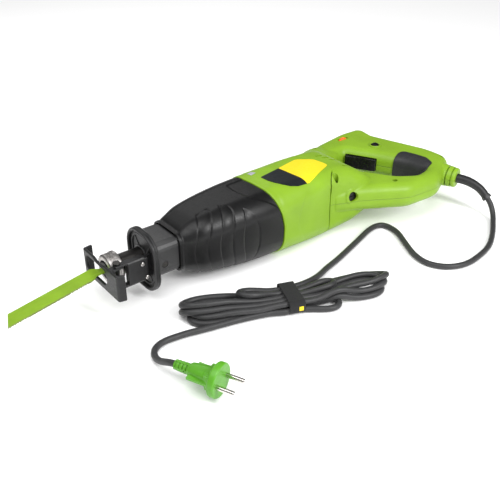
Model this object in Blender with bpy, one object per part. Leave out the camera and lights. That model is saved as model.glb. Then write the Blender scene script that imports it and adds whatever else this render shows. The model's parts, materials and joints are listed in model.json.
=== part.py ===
"""Corded reciprocating saw, lying on its right side, as an assembly of separate parts.

Axes: -X runs to the blade's tip, +X to the handle, +Y is the saw's top in use, +Z is its left side.
Lengths below are in millimetres on the tool's own axis (x = 3.5 is 7 mm behind the shoe's face, y = z = 0
on the motor's axis), and mm() moves them to the stored frame, whose origin is under the middle of the saw.
"""
import math

import bmesh
import bpy
from mathutils import Matrix, Vector

# ---- driving dimensions (mm) ----
FLOOR_Z = -43.9            # the surface that the saw lies on
CENTRE_X, CENTRE_Y = 193.15, 2.35  # middle of the saw's own box, under which the origin sits
GAP = 0.3                  # between neighbouring solids
WALL = 3.2                 # plastic shells

SEAM_1 = 213.0             # gearbox boot meets the motor housing
SEAM_2 = 297.0             # motor housing meets the handle
HANDLE_HALF = 17.5         # half thickness of the D-handle
HANDLE_ROUND = 13.0        # its edge rounding

ROD_Y = 2.0                # plunger axis
ROD_R = 11.5
STROKE = 28.0
COLLAR_R = 17.5
SHOE_PIVOT = (9.0, -18.0)  # x, y of the shoe's hinge pin
GEAR_X = 165.0             # crank gear's axis
GEAR_TEETH, PINION_TEETH = 30, 6
ARMATURE_R = 22.0
BRUSH_X = 325.0
BRUSH_TILT = math.radians(8.0)
COMMUTATOR_R = 13.0
GRIP_LEAN = math.atan2(23.0, 38.0)   # the trigger's front face against -Y
TRIGGER_MID = (413.5, 24.8)
BUTTON_AT = (446.0, 29.0)
DIAL_AT = (427.0, 74.0)
CORD_R = 3.5
CORD_Z = FLOOR_Z + CORD_R + 0.1


def mm(x, y, z):
    """Tool millimetres to stored metres."""
    return Vector(((x - CENTRE_X), (y - CENTRE_Y), (z - FLOOR_Z))) * 0.001


# ---- scene and materials ----
def clear_scene():
    for obj in list(bpy.data.objects):
        bpy.data.objects.remove(obj, do_unlink=True)


def material(name, colour, rough, metal=0.0):
    mat = bpy.data.materials.new(name)
    mat.use_nodes = True
    shader = mat.node_tree.nodes["Principled BSDF"]
    shader.inputs["Base Color"].default_value = (*colour, 1.0)
    shader.inputs["Roughness"].default_value = rough
    shader.inputs["Metallic"].default_value = metal
    mat.diffuse_color = (*colour, 1.0)
    return mat


def collection(name):
    made = bpy.data.collections.new(name)
    bpy.context.scene.collection.children.link(made)
    return made


clear_scene()
PARTS = collection("reciprocating_saw")
CUTTERS = collection("cutters")
GREEN = material("green_plastic", (0.25, 0.50, 0.035), 0.42)
BLACK = material("black_plastic", (0.012, 0.012, 0.013), 0.5)
RUBBER = material("black_rubber", (0.008, 0.008, 0.009), 0.3)
STEEL = material("steel", (0.55, 0.54, 0.52), 0.3, 1.0)
DARK_STEEL = material("dark_steel", (0.05, 0.05, 0.05), 0.45, 1.0)
ALUMINIUM = material("aluminium", (0.6, 0.6, 0.62), 0.4, 1.0)
COPPER = material("copper", (0.7, 0.32, 0.14), 0.35, 1.0)
BRASS = material("brass", (0.75, 0.55, 0.2), 0.3, 1.0)
BRONZE = material("bronze", (0.45, 0.3, 0.14), 0.4, 1.0)
CARBON = material("carbon", (0.02, 0.02, 0.02), 0.7)
BLADE_GREEN = material("blade_green", (0.23, 0.46, 0.03), 0.45)
YELLOW = material("yellow", (0.9, 0.66, 0.01), 0.4)
ORANGE = material("orange", (0.9, 0.16, 0.01), 0.4)
SILVER = material("silver", (0.5, 0.5, 0.5), 0.3, 0.8)


# ---- mesh helpers ----
def tidy(bm, merge=2e-6):
    bmesh.ops.remove_doubles(bm, verts=bm.verts, dist=merge)
    bmesh.ops.dissolve_degenerate(bm, edges=bm.edges, dist=1e-7)
    bmesh.ops.recalc_face_normals(bm, faces=bm.faces)


def add(name, bm, mat=None, cutter=False, angle=35.0):
    """Turn a bmesh into a named object, as a part or as a hidden cutter."""
    tidy(bm)
    mesh = bpy.data.meshes.new(name)
    bm.to_mesh(mesh)
    bm.free()
    if mat:
        mesh.materials.append(mat)
    mesh.shade_smooth()
    mesh.set_sharp_from_angle(angle=math.radians(angle))
    obj = bpy.data.objects.new(name, mesh)
    (CUTTERS if cutter else PARTS).objects.link(obj)
    if cutter:
        obj.hide_render = True
        obj.display_type = "WIRE"
    return obj


def frame_to(direction, roll=Vector((0, 0, 1))):
    """Rotation taking +Z to direction, with +X near roll."""
    z = Vector(direction).normalized()
    x = roll - z * roll.dot(z)
    if x.length < 1e-4:
        x = Vector((1, 0, 0)) - z * z.x
    x.normalize()
    return Matrix((x, z.cross(x), z)).transposed().to_4x4()


def box_bm(low, high, bevel=0.0, segments=2, turn=None):
    """A box between two corners in tool mm; turn = (x, y, angle) rotates it about Z there."""
    a, b = mm(*low), mm(*high)
    bm = bmesh.new()
    bmesh.ops.create_cube(bm, size=1.0)
    bmesh.ops.scale(bm, vec=b - a, verts=bm.verts)
    bmesh.ops.translate(bm, vec=(a + b) / 2, verts=bm.verts)
    if bevel:
        bmesh.ops.bevel(bm, geom=bm.edges[:], offset=bevel * 0.001, segments=segments,
                        affect="EDGES", profile=0.5)
    if turn:
        bmesh.ops.rotate(bm, cent=mm(turn[0], turn[1], 0), verts=bm.verts,
                         matrix=Matrix.Rotation(turn[2], 3, "Z"))
    return bm


def box(name, low, high, mat=None, bevel=0.0, cutter=False, turn=None):
    return add(name, box_bm(low, high, bevel, turn=turn), mat, cutter)


def turned_bm(profile, start, direction, segments=24):
    """A body of revolution: profile is (distance along, radius) in mm, from start along direction."""
    bm = bmesh.new()
    rings = []
    for along, radius in profile:
        if radius < 1e-6:
            rings.append([bm.verts.new((0, 0, along))])
            continue
        angles = [2 * math.pi * k / segments for k in range(segments)]
        rings.append([bm.verts.new((radius * math.cos(t), radius * math.sin(t), along)) for t in angles])
    closed = profile[0] != profile[-1] and profile[0][1] > 0 and profile[-1][1] > 0
    pairs = list(zip(rings, rings[1:])) + ([(rings[-1], rings[0])] if closed else [])
    for a, b in pairs:
        for k in range(segments):
            n = (k + 1) % segments
            quad = [a[k % len(a)], a[n % len(a)], b[n % len(b)], b[k % len(b)]]
            face = list(dict.fromkeys(quad))
            if len(face) > 2:
                bm.faces.new(face)
    bmesh.ops.scale(bm, vec=(0.001,) * 3, verts=bm.verts)
    bmesh.ops.transform(bm, matrix=Matrix.Translation(mm(*start)) @ frame_to(direction), verts=bm.verts)
    return bm


def rod_bm(start, direction, radius, length, segments=32, chamfer=0.0):
    c = min(chamfer, radius * 0.5, length * 0.4)
    profile = [(0, 0), (0, radius - c)] + ([(c, radius), (length - c, radius)] if c else
                                          [(length, radius)]) + [(length, radius - c), (length, 0)]
    if not c:
        profile = [(0, 0), (0, radius), (length, radius), (length, 0)]
    return turned_bm(profile, start, direction, segments)


def rod(name, start, direction, radius, length, mat=None, segments=32, chamfer=0.0, cutter=False):
    return add(name, rod_bm(start, direction, radius, length, segments, chamfer), mat, cutter)


def ring(name, start, direction, inner, outer, length, mat, segments=32, chamfer=0.0):
    c = chamfer
    profile = [(0, inner), (0, outer - c), (c, outer), (length - c, outer), (length, outer - c),
               (length, inner)]
    if not c:
        profile = [(0, inner), (0, outer), (length, outer), (length, inner)]
    return add(name, turned_bm(profile, start, direction, segments), mat)


def rounded_rectangle(half_y, half_z, corner, steps=5):
    """Points (y, z) of a rounded rectangle, anticlockwise, steps + 1 on each corner."""
    points = []
    for quarter, (sy, sz) in enumerate(((1, 1), (-1, 1), (-1, -1), (1, -1))):
        for k in range(steps + 1):
            t = math.pi / 2 * (quarter + k / steps)
            points.append((sy * (half_y - corner) + corner * math.cos(t),
                           sz * (half_z - corner) + corner * math.sin(t)))
    return points


def loft_bm(sections, inset=0.0, steps=4):
    """Loft of rounded rectangles: each section is (x, middle y, half y, half z, corner)."""
    bm = bmesh.new()
    rings = []
    for x, mid, half_y, half_z, corner in sections:
        outline = rounded_rectangle(half_y - inset, half_z - inset, max(corner - inset, 1.0), steps)
        rings.append([bm.verts.new(mm(x, mid + y, z)) for y, z in outline])
    count = len(rings[0])
    for a, b in zip(rings, rings[1:]):
        for k in range(count):
            n = (k + 1) % count
            bm.faces.new((a[k], a[n], b[n], b[k]))
    bm.faces.new(rings[0])
    bm.faces.new(rings[-1])
    return bm


def rounded_outline(corners, steps=4):
    """Closed outline in plan: each corner is (x, y, radius), rounded by an arc of that radius."""
    points = []
    count = len(corners)
    for k, (x, y, radius) in enumerate(corners):
        here = Vector((x, y))
        to_last = Vector(corners[k - 1][:2]) - here
        to_next = Vector(corners[(k + 1) % count][:2]) - here
        if radius <= 0:
            points.append(here)
            continue
        half = to_last.angle(to_next) / 2
        reach = radius / math.tan(half)
        centre = here + (to_last.normalized() + to_next.normalized()).normalized() * radius / math.sin(half)
        start = here + to_last.normalized() * reach - centre
        end = here + to_next.normalized() * reach - centre
        sweep = start.angle_signed(end)
        arc = max(2, round(steps * abs(sweep) / (math.pi / 2)))
        for n in range(arc + 1):
            t = -sweep * n / arc
            points.append(centre + Vector((start.x * math.cos(t) - start.y * math.sin(t),
                                           start.x * math.sin(t) + start.y * math.cos(t))))
    return points


def plate_bm(outlines, z_low, z_high, edge=0.0, inset=0.0, resolution=2):
    """A flat plate from plan outlines (the first is the outside, the rest are holes)."""
    curve = bpy.data.curves.new("outline", "CURVE")
    curve.dimensions = "2D"
    curve.fill_mode = "BOTH"
    half = (z_high - z_low) / 2
    curve.extrude = (half - edge) * 0.001
    curve.bevel_depth = edge * 0.001
    curve.bevel_resolution = resolution
    curve.offset = -(edge + inset) * 0.001
    for number, outline in enumerate(outlines):
        points = outline if number == 0 else outline[::-1]
        spline = curve.splines.new("POLY")
        spline.points.add(len(points) - 1)
        for point, at in zip(spline.points, points):
            place = mm(at[0], at[1], 0)
            point.co = (place.x, place.y, 0, 1)
        spline.use_cyclic_u = True
    obj = bpy.data.objects.new("outline", curve)
    bpy.context.scene.collection.objects.link(obj)
    graph = bpy.context.evaluated_depsgraph_get()
    mesh = bpy.data.meshes.new_from_object(obj.evaluated_get(graph))
    bpy.data.objects.remove(obj)
    bm = bmesh.new()
    bm.from_mesh(mesh)
    bmesh.ops.remove_doubles(bm, verts=bm.verts, dist=1e-5)
    bmesh.ops.translate(bm, vec=(0, 0, mm(0, 0, (z_low + z_high) / 2).z), verts=bm.verts)
    return bm


def slab_bm(outline, z_low, z_high):
    """A thin sharp-edged plate from one plan outline."""
    bm = bmesh.new()
    low, high = ([bm.verts.new(mm(p[0], p[1], z)) for p in outline] for z in (z_low, z_high))
    count = len(outline)
    for k in range(count):
        n = (k + 1) % count
        bm.faces.new((low[k], low[n], high[n], high[k]))
    bm.faces.new(low)
    bm.faces.new(high)
    return bm


def boolean(obj, other, operation="DIFFERENCE"):
    mod = obj.modifiers.new(operation.lower(), "BOOLEAN")
    mod.operation = operation
    mod.solver = "EXACT"
    mod.object = other
    return obj


def cut(obj, *cutters):
    for other in cutters:
        boolean(obj, other)
    return obj


def apply(obj):
    """Bake the modifiers, so that a later cutter sees the finished shape."""
    graph = bpy.context.evaluated_depsgraph_get()
    mesh = bpy.data.meshes.new_from_object(obj.evaluated_get(graph))
    obj.modifiers.clear()
    obj.data = mesh
    bm = bmesh.new()
    bm.from_mesh(mesh)
    bmesh.ops.remove_doubles(bm, verts=bm.verts, dist=5e-6)
    bmesh.ops.dissolve_limit(bm, angle_limit=math.radians(0.6), verts=bm.verts, edges=bm.edges)
    bm.to_mesh(mesh)
    bm.free()
    mesh.shade_smooth()
    mesh.set_sharp_from_angle(angle=math.radians(35))
    return obj


def smooth_route(points, step):
    """Places about every step mm along a Catmull-Rom curve through points (mm)."""
    pts = [Vector(p) for p in points]
    pts = [pts[0] * 2 - pts[1]] + pts + [pts[-1] * 2 - pts[-2]]
    fine = []
    for a, b, c, d in zip(pts, pts[1:], pts[2:], pts[3:]):
        for k in range(24):
            t = k / 24
            fine.append(0.5 * ((2 * b) + (c - a) * t + (2 * a - 5 * b + 4 * c - d) * t * t
                               + (3 * b - a - 3 * c + d) * t ** 3))
    fine.append(pts[-2])
    route, run = [fine[0]], 0.0
    for last, here in zip(fine, fine[1:]):
        run += (here - last).length
        if run >= step:
            route.append(here)
            run = 0.0
    if (route[-1] - fine[-1]).length < step * 0.4:
        route.pop()
    return route + [fine[-1]]


def tube(name, points, radius, mat, step=18.0, resolution=2):
    """A filled tube along a smooth route given in tool mm."""
    route = smooth_route(points, step)
    curve = bpy.data.curves.new(name, "CURVE")
    curve.dimensions = "3D"
    curve.bevel_depth = radius * 0.001
    curve.bevel_resolution = resolution
    curve.use_fill_caps = True
    spline = curve.splines.new("POLY")
    spline.points.add(len(route) - 1)
    for point, at in zip(spline.points, route):
        point.co = (*mm(*at), 1)
    curve.materials.append(mat)
    obj = bpy.data.objects.new(name, curve)
    PARTS.objects.link(obj)
    return obj


# ---- blade, clamp and plunger ----
def blade():
    """Canted blade: a straight tang in the clamp, then a body that slopes to the teeth side."""
    cant = math.tan(math.radians(13.0))
    back_y, width, root, tip = 12.6, 20.0, -7.0, -119.0
    def edge(x, across):
        return (x, back_y + (x - root) * cant - across)
    teeth, pitch = [], 4.0
    for k in range(int((root - 6 - (tip + 2)) / pitch)):
        x = tip + 2 + k * pitch
        teeth += [edge(x, width), edge(x + pitch * 0.62, width - 1.5)]
    outline = teeth + [edge(root - 5, width - 1.0), edge(root - 1, width - 4.0), (0.5, ROD_Y - 5.0),
                       (14.0, ROD_Y - 5.0), (14.0, ROD_Y + 5.0), (0.5, ROD_Y + 5.0),
                       edge(root, 1.0), edge(root - 2.0, 0.0), edge(tip + 11.0, 0.0)]
    return add("blade", slab_bm(outline, -0.6, 0.6), BLADE_GREEN, angle=20)


def clamp_and_plunger():
    body = add("blade_clamp_body", turned_bm(
        [(0, 0), (0, 8.6), (1.0, 9.6), (3.0, 10.6), (15.7, 10.6), (15.7, 0)],
        (4.0, ROD_Y, 0), (1, 0, 0), 28), DARK_STEEL)
    slot = box("tang_slot", (3.0, ROD_Y - 5.3, -0.9), (14.3, ROD_Y + 5.3, 0.9), cutter=True)
    cut(body, slot)
    collar = ring("blade_clamp_collar", (4.6, ROD_Y, 0), (1, 0, 0), 10.9, COLLAR_R, 15.1, STEEL, 28, 1.0)
    lever = box("collar_lever", (6.5, ROD_Y + 14.0, -4.0), (17.5, ROD_Y + 19.0, 4.0), bevel=0.8, cutter=True)
    boolean(collar, lever, "UNION")
    plunger = add("plunger", rod_bm((20.0, ROD_Y, 0), (1, 0, 0), ROD_R, 84.0, 24, 0.8), STEEL)
    bar = box("plunger_bar", (103.0, ROD_Y - 8, -3.0), (146.0, ROD_Y + 8, 8.0), cutter=True)
    yoke = box("plunger_yoke", (142.0, ROD_Y - 24, -3.0), (160.0, ROD_Y + 20, 8.0), cutter=True)
    slot = box("yoke_slot", (145.8, ROD_Y - 21, -6.0), (156.2, ROD_Y + 17, 12.0), cutter=True)
    for piece in (bar, yoke):
        boolean(plunger, piece, "UNION")
    cut(plunger, slot)


# ---- shoe and its support ----
def shoe():
    """Bent plate with a rounded window, a scooped left edge, end lips and two hinge ears."""
    outline = [(-3.5, -40.0, 2.5), (6.0, -42.0, 1.2), (6.0, -38.6, 1.2), (-0.3, -36.5, 1.5),
               (-0.3, 31.6, 1.5), (7.5, 33.2, 1.2), (7.5, 36.6, 1.2), (-3.5, 35.0, 2.5)]
    plate = add("shoe_plate", plate_bm([rounded_outline(outline[::-1], 4)], -16.5, 15.0, 0.8, resolution=0), BLACK)
    for side, z in (("right", -12.2), ("left", 9.8)):
        ear = box("shoe_ear_" + side, (-1.9, -22.5, z), (14.0, -14.6, z + 2.4), cutter=True)
        boolean(plate, ear, "UNION")
    window = loft_cutter("shoe_window", -20.0, 23.6, 7.0, 23.5, 10.0, 8.0)
    scoop = rod("shoe_scoop", (-8.0, -2.0, 42.3), (1, 0, 0), 31.0, 12.0, segments=48, cutter=True)
    hole = rod("shoe_pin_hole", (*SHOE_PIVOT, -20), (0, 0, 1), 2.8, 40, segments=20, cutter=True)
    cut(plate, window, scoop, hole)
    return plate


def loft_cutter(name, x0, x1, mid, half_y, half_z, corner):
    sections = [(x0, mid, half_y, half_z, corner), (x1, mid, half_y, half_z, corner)]
    return add(name, loft_bm(sections), cutter=True)


def shoe_support():
    """U-shaped carrier: a web under the plunger, and two lugs that hold the hinge pin."""
    web = box("shoe_support", (19.0, -19.6, -14.0), (100.0, -16.6, 14.0), BLACK, 0.5)
    for side, z in (("right", -15.0), ("left", 12.4)):
        lug = box("support_lug_" + side, (5.4, -22.6, z), (40.0, -15.4, z + 2.6), cutter=True)
        boolean(web, lug, "UNION")
    link = box("support_step", (19.5, -23.5, -13.5), (43.5, -17.0, 13.5), cutter=True)
    boolean(web, link, "UNION")
    hole = rod("support_pin_hole", (*SHOE_PIVOT, -20), (0, 0, 1), 2.8, 40, segments=20, cutter=True)
    cut(web, hole)
    pin = turned_bm([(0, 0), (0, 4.0), (1.4, 4.0), (1.4, 2.5), (33.8, 2.5), (33.8, 4.0), (35.2, 4.0),
                     (35.2, 0)], (*SHOE_PIVOT, -17.6), (0, 0, 1), 20)
    add("shoe_hinge_pin", pin, STEEL)
    for number, x in enumerate((36.5, 41.0)):
        z = (7.5, -10.5)[number]
        rivet = turned_bm([(0, 0), (0, 1.6), (0.7, 2.4), (1.3, 2.4), (1.3, 0)], (x, -25.1, z), (0, 1, 0), 16)
        add("support_rivet_%d" % (number + 1), rivet, STEEL)


# ---- nose, gearbox and boot ----
NECK = (25.2, 21.0, 9.0)
BOOT = [(84.0, 3.0, 27.4, 23.4, 10.0), (88.0, 2.6, 27.8, 24.2, 11.5), (96.0, 2.0, 31.0, 28.6, 17.0),
        (110.0, 1.2, 35.6, 34.8, 21.0), (130.0, 0.6, 39.5, 38.0, 23.0), (150.0, 0.3, 42.0, 40.5, 25.0),
        (175.0, 0.0, 44.2, 42.2, 26.0), (196.0, 0.0, 45.4, 43.0, 27.0), (SEAM_1 - 1.6, 0.0, 45.6, 43.2, 27.0)]
BOOT_WALL = 3.4
HOUSING = [(SEAM_1, 0.0, 46.4, 43.6, 27.0), (217.0, 0.0, 46.8, 43.9, 27.0), (264.0, 0.0, 45.0, 43.9, 22.0),
           (SEAM_2 - 0.6, 0.0, 41.2, 43.3, 16.0)]


def nose():
    flange = add("nose_flange", loft_bm([(45.2, -4.0, 28.6, 34.6, 23.5), (46.6, -4.0, 30.0, 36.0, 25.0),
                                         (51.2, -4.0, 30.0, 36.0, 25.0), (52.8, -4.0, 28.6, 34.6, 23.5)]), BLACK)
    recess = loft_cutter("flange_recess", 42.0, 49.2, -4.0, 26.5, 32.5, 21.5)
    bore = rod("flange_bore", (40, ROD_Y, 0), (1, 0, 0), ROD_R + 0.6, 30, cutter=True)
    slot = box("flange_slot", (40, -20.2, -14.6), (60, -16.0, 14.6), cutter=True)
    cut(flange, recess, bore, slot)
    ring("front_bush", (62.0, ROD_Y, 0), (1, 0, 0), ROD_R + 0.05, 13.2, 14.0, BRONZE, 24)
    ring("rear_bush", (88.0, ROD_Y, 0), (1, 0, 0), ROD_R + 0.05, 13.2, 14.0, BRONZE, 24)


def gearbox():
    mid, half_y, half_z = 3.2, NECK[0], NECK[1]
    sections = [(53.1, mid, half_y, half_z, NECK[2]), (83.0, mid, half_y, half_z, NECK[2])]
    inner = [(x, y, a - BOOT_WALL - GAP, b - BOOT_WALL - GAP, max(c - BOOT_WALL - GAP, 4.0))
             for x, y, a, b, c in BOOT[1:]]
    sections += [(83.8, mid, inner[0][2] - 0.6, inner[0][3] - 1.0, 8.0)] + inner
    housing = add("gearbox_housing", loft_bm(sections), ALUMINIUM)
    cavity = [(x, y, a - 4.5, b - 4.5, c - 4.0) for x, y, a, b, c in inner[2:]]
    cavity[0] = (106.0,) + cavity[0][1:]
    cavity[-1] = (SEAM_1 + 5.0,) + cavity[-1][1:]
    cutter = add("gearbox_cavity", loft_bm(cavity), cutter=True)
    bore = rod("neck_bore", (50, ROD_Y, 0), (1, 0, 0), 13.5, 60, cutter=True)
    slot = box("support_channel", (50, -20.0, -14.4), (104, -16.2, 14.4), cutter=True)
    gear_seat = rod("gear_bearing_seat", (GEAR_X, 0, -35.0), (0, 0, 1), 12.3, 6.0, cutter=True)
    bolt_hole = rod("lock_bolt_hole", (65.0, -30.0, -5.0), (0, 1, 0), 4.0, 10.2, segments=20, cutter=True)
    cut(housing, cutter, bore, slot, gear_seat, bolt_hole)
    bolt = turned_bm([(0, 0), (0, 3.6), (1.8, 3.6), (1.8, 0)], (65.0, -21.7, -5.0), (0, 1, 0), 16)
    add("shoe_lock_bolt", bolt, DARK_STEEL)


def boot():
    """Rubber boot stretched over the gearbox, with rib bands round it."""
    shell = add("rubber_boot", loft_bm(BOOT), RUBBER)
    cavity = [(82.0, 3.2, 25.6, 21.4, 8.4)]
    cavity += [(x, y, a - BOOT_WALL, b - BOOT_WALL, max(c - BOOT_WALL, 4.0)) for x, y, a, b, c in BOOT[1:]]
    cavity[1] = (88.0, 3.2, 25.7, 22.0, 9.0)
    cavity[-1] = (SEAM_1 + 4.0,) + cavity[-1][1:]
    cut(shell, add("boot_cavity", loft_bm(cavity), cutter=True))
    ring_gap = add("gap_ring", loft_bm([(SEAM_1 - 1.3, 0, 44.6, 42.2, 26.0),
                                        (SEAM_1 - 0.3, 0, 44.6, 42.2, 26.0)]), BLACK)
    cut(ring_gap, add("gap_ring_hole", loft_bm([(SEAM_1 - 5, 0, 41.0, 38.6, 22.0),
                                                (SEAM_1 + 5, 0, 41.0, 38.6, 22.0)]), cutter=True))


def gear_train():
    """Crank gear on a Z axle, with its crank pin just under the plunger's yoke."""
    gear = add("crank_gear", turned_bm([(0, 0), (0, 24.0), (3.0, 30.0), (10.6, 31.0), (10.6, 24.0),
                                        (7.0, 22.0), (7.0, 0)], (GEAR_X, 0, -18.4), (0, 0, 1), 28), DARK_STEEL)
    pin = rod("crank_pin", (GEAR_X - STROKE / 2, 0, -13.0), (0, 0, 1), 5.0, 9.0, segments=20, cutter=True)
    boolean(gear, pin, "UNION")
    for number in range(GEAR_TEETH):
        t = 2 * math.pi * number / GEAR_TEETH
        slot = box_bm((GEAR_X + 25.5, -0.8, -9.0), (GEAR_X + 33.0, 0.8, -5.0))
        bmesh.ops.rotate(slot, cent=mm(GEAR_X, 0, 0), matrix=Matrix.Rotation(t, 3, "Z"), verts=slot.verts)
        if number == 0:
            teeth = slot
        else:
            mesh = bpy.data.meshes.new("tooth")
            slot.to_mesh(mesh)
            slot.free()
            teeth.from_mesh(mesh)
            bpy.data.meshes.remove(mesh)
    cut(gear, add("gear_tooth_gaps", teeth, cutter=True))
    axle = turned_bm([(0, 0), (0, 6.0), (14.0, 6.0), (14.0, 0)], (GEAR_X, 0, -32.7), (0, 0, 1), 24)
    add("crank_axle", axle, STEEL)
    ring("crank_bearing", (GEAR_X, 0, -34.5), (0, 0, 1), 6.3, 12.0, 7.0, STEEL, 20)


# ---- motor ----
def motor():
    housing = add("motor_housing", loft_bm(HOUSING, steps=7), GREEN)
    inner = [(x, y, a - WALL, b - WALL, c - WALL) for x, y, a, b, c in HOUSING]
    inner[0] = (SEAM_1 - 3,) + inner[0][1:]
    inner[-1] = (SEAM_2 + 3,) + inner[-1][1:]
    cut(housing, add("motor_cavity", loft_bm(inner, steps=7), cutter=True))
    plate = add("bearing_plate", loft_bm([(200.0, 0, 34.0, 32.0, 18.0), (206.0, 0, 34.0, 32.0, 18.0)]), ALUMINIUM)
    cut(plate, rod("plate_hole", (190, 0, 0), (1, 0, 0), 13.3, 30, cutter=True))
    ring("front_bearing", (199.5, 0, 0), (1, 0, 0), 5.3, 13.0, 7.0, STEEL, 20)
    ring("rear_bearing", (345.0, 0, 0), (1, 0, 0), 4.3, 11.0, 7.0, STEEL, 20)
    pinion = turned_bm([(0, 0), (0, 4.6), (0.8, 5.6), (9.0, 6.6), (9.0, 0)], (188.0, 0, 0), (1, 0, 0), 24)
    pinion = add("drive_pinion", pinion, STEEL)
    shaft = turned_bm([(0, 0), (0, 5.0), (29.7, 5.0), (29.7, 7.0), (131.0, 7.0), (131.0, 4.0), (154.0, 4.0),
                       (154.0, 0)], (197.3, 0, 0), (1, 0, 0), 20)
    add("armature_shaft", shaft, STEEL)
    core = turned_bm([(0, 7.3), (0, 15.0), (6.0, 19.0), (9.0, ARMATURE_R), (50.0, ARMATURE_R), (53.0, 19.0),
                      (59.0, 15.0), (59.0, 7.3)], (236.0, 0, 0), (1, 0, 0), 24)
    add("armature_core", core, COPPER)
    ring("commutator", (314.0, 0, 0), (1, 0, 0), 7.3, COMMUTATOR_R, 20.0, COPPER, 24)
    fan = [(0, 7.3), (0, 30.0), (1.6, 30.0), (1.6, 14.0), (12.0, 12.0), (12.0, 7.3)]
    add("cooling_fan", turned_bm(fan, (219.0, 0, 0), (1, 0, 0), 24), BLACK)
    ring("stator_core", (240.0, 0, 0), (1, 0, 0), ARMATURE_R + 0.8, 36.0, 50.0, DARK_STEEL, 20)
    ring("stator_coil_front", (233.0, 0, 0), (1, 0, 0), 24.5, 32.0, 6.7, COPPER, 20, 1.5)
    ring("stator_coil_rear", (290.3, 0, 0), (1, 0, 0), 24.5, 32.0, 6.7, COPPER, 20, 1.5)


def brush_direction(side):
    """Unit vector from the motor's axis to a brush; side is -1 near the teeth side, +1 opposite."""
    return Vector((0, side * math.cos(BRUSH_TILT), -side * math.sin(BRUSH_TILT)))


def brushes():
    for side, word in ((-1, "a"), (1, "b")):
        out = brush_direction(side)
        def at(reach):
            return (BRUSH_X, out.y * reach, out.z * reach)
        ring("brush_holder_" + word, at(17.0), out, 4.3, 5.8, 26.0, BRASS, 20)
        rod("carbon_brush_" + word, at(COMMUTATOR_R + 0.4), out, 4.0, 16.0, CARBON, 16)
        cap = add("brush_cap_" + word, rod_bm(at(43.4), out, 5.9, 4.6, 18, 0.5), BLACK)
        groove = box_bm((BRUSH_X - 5.0, -0.7, -1.2), (BRUSH_X + 5.0, 0.7, 1.2))
        middle = mm(BRUSH_X, 0, 0)
        bmesh.ops.transform(groove, verts=groove.verts, matrix=Matrix.Translation(mm(*at(48.0)))
                            @ frame_to(out, Vector((1, 0, 0))) @ Matrix.Translation(-middle))
        cut(cap, add("cap_groove_" + word, groove, cutter=True))


# ---- handle ----
DOME = [(SEAM_2, 0.0, 40.8, 43.2, 16.0), (312.0, 0.5, 43.5, 42.9, 20.0), (328.0, 1.5, 49.0, 40.6, 25.0),
        (345.0, 4.0, 54.0, 33.0, 23.0), (358.0, 6.0, 56.0, 24.5, 18.0), (368.0, 7.0, 54.0, 17.6, 13.0)]
HANDLE = [(SEAM_2 + 6, -43.0, 0), (334.0, -54.5, 60), (390.0, -87.0, 40), (442.0, -90.0, 40), (474.0, -74.0, 16),
          (503.0, -56.0, 20), (503.5, -22.0, 80), (477.0, 60.0, 10), (483.0, 95.0, 15), (440.0, 96.0, 90),
          (386.0, 86.0, 90), (345.0, 70.0, 60), (SEAM_2 + 6, 41.0, 0)]
SHOULDER = [(302.0, 16.0, 21.0, 36.0, 16.0), (315.0, 24.0, 24.5, 35.0, 16.0), (330.0, 33.0, 26.0, 31.0, 15.0),
            (352.0, 47.0, 25.0, 25.0, 13.0), (375.0, 58.0, 22.0, 19.5, 12.0), (392.0, 62.0, 18.0, 15.0, 10.0)]
GRIP_OPENING = [(377.0, 46.0, 14), (377.0, -10.0, 14), (402.0, -50.0, 24), (424.0, -65.0, 18),
                (450.0, -60.0, 9), (446.5, -30.0, 50), (429.0, 6.0, 120), (406.0, 48.0, 8)]
GLAND = ((475.0, -58.0), (484.0, -87.5))
VENTS, SLIT = [(321.5, 12.5), (326.0, 4.8), (331.0, -3.0)], (331.5, -25.5)


def along_gland(reach):
    """Point at reach mm beyond the gland's outer face, along its axis."""
    a, b = Vector((*GLAND[0], 0)), Vector((*GLAND[1], 0))
    return b + (b - a).normalized() * reach


def trigger_box(name, out, back, half, thick, **kw):
    """Box in the trigger's own directions: out mm in front of its face, back mm behind it."""
    low = (TRIGGER_MID[0] - out, TRIGGER_MID[1] - half, -thick)
    high = (TRIGGER_MID[0] + back, TRIGGER_MID[1] + half, thick)
    return box(name, low, high, turn=(*TRIGGER_MID, GRIP_LEAN), **kw)


def handle_body(name, inset):
    """The handle's outer form, or its inner form when inset is a wall's thickness."""
    dome = list(DOME)
    if inset:
        dome[0] = (SEAM_2 - 4.0,) + dome[0][1:]
    solid = add(name, loft_bm(dome, inset), cutter=True)
    outlines = [rounded_outline(HANDLE), rounded_outline(GRIP_OPENING)]
    half = HANDLE_HALF - inset
    plate = add(name + "_plate", plate_bm(outlines, -half, half, HANDLE_ROUND - inset, inset, 1), cutter=True)
    direction = Vector((*GLAND[1], 0)) - Vector((*GLAND[0], 0))
    reach = direction.length
    if not inset:
        profile = [(0, 0), (0, 16.0), (reach - 14, 14.3), (reach - 13, 13.0), (reach - 11, 12.9), (reach - 10, 13.9),
                   (reach - 7, 13.6), (reach - 6, 12.4), (reach - 4, 12.3), (reach - 3, 13.2), (reach, 12.8),
                   (reach, 0)]
    else:
        profile = [(0, 0), (0, 9.0), (reach - 3.0, 9.0), (reach - 3.0, 6.4), (reach + 6, 6.4), (reach + 6, 0)]
    boss = add(name + "_gland", turned_bm(profile, (*GLAND[0], 0), direction, 28), cutter=True)
    shoulder = add(name + "_shoulder", loft_bm(SHOULDER, inset), cutter=True)
    boolean(solid, plate, "UNION")
    boolean(solid, shoulder, "UNION")
    boolean(solid, boss, "UNION")
    apply(solid)
    solid.hide_render = True
    return solid


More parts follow.
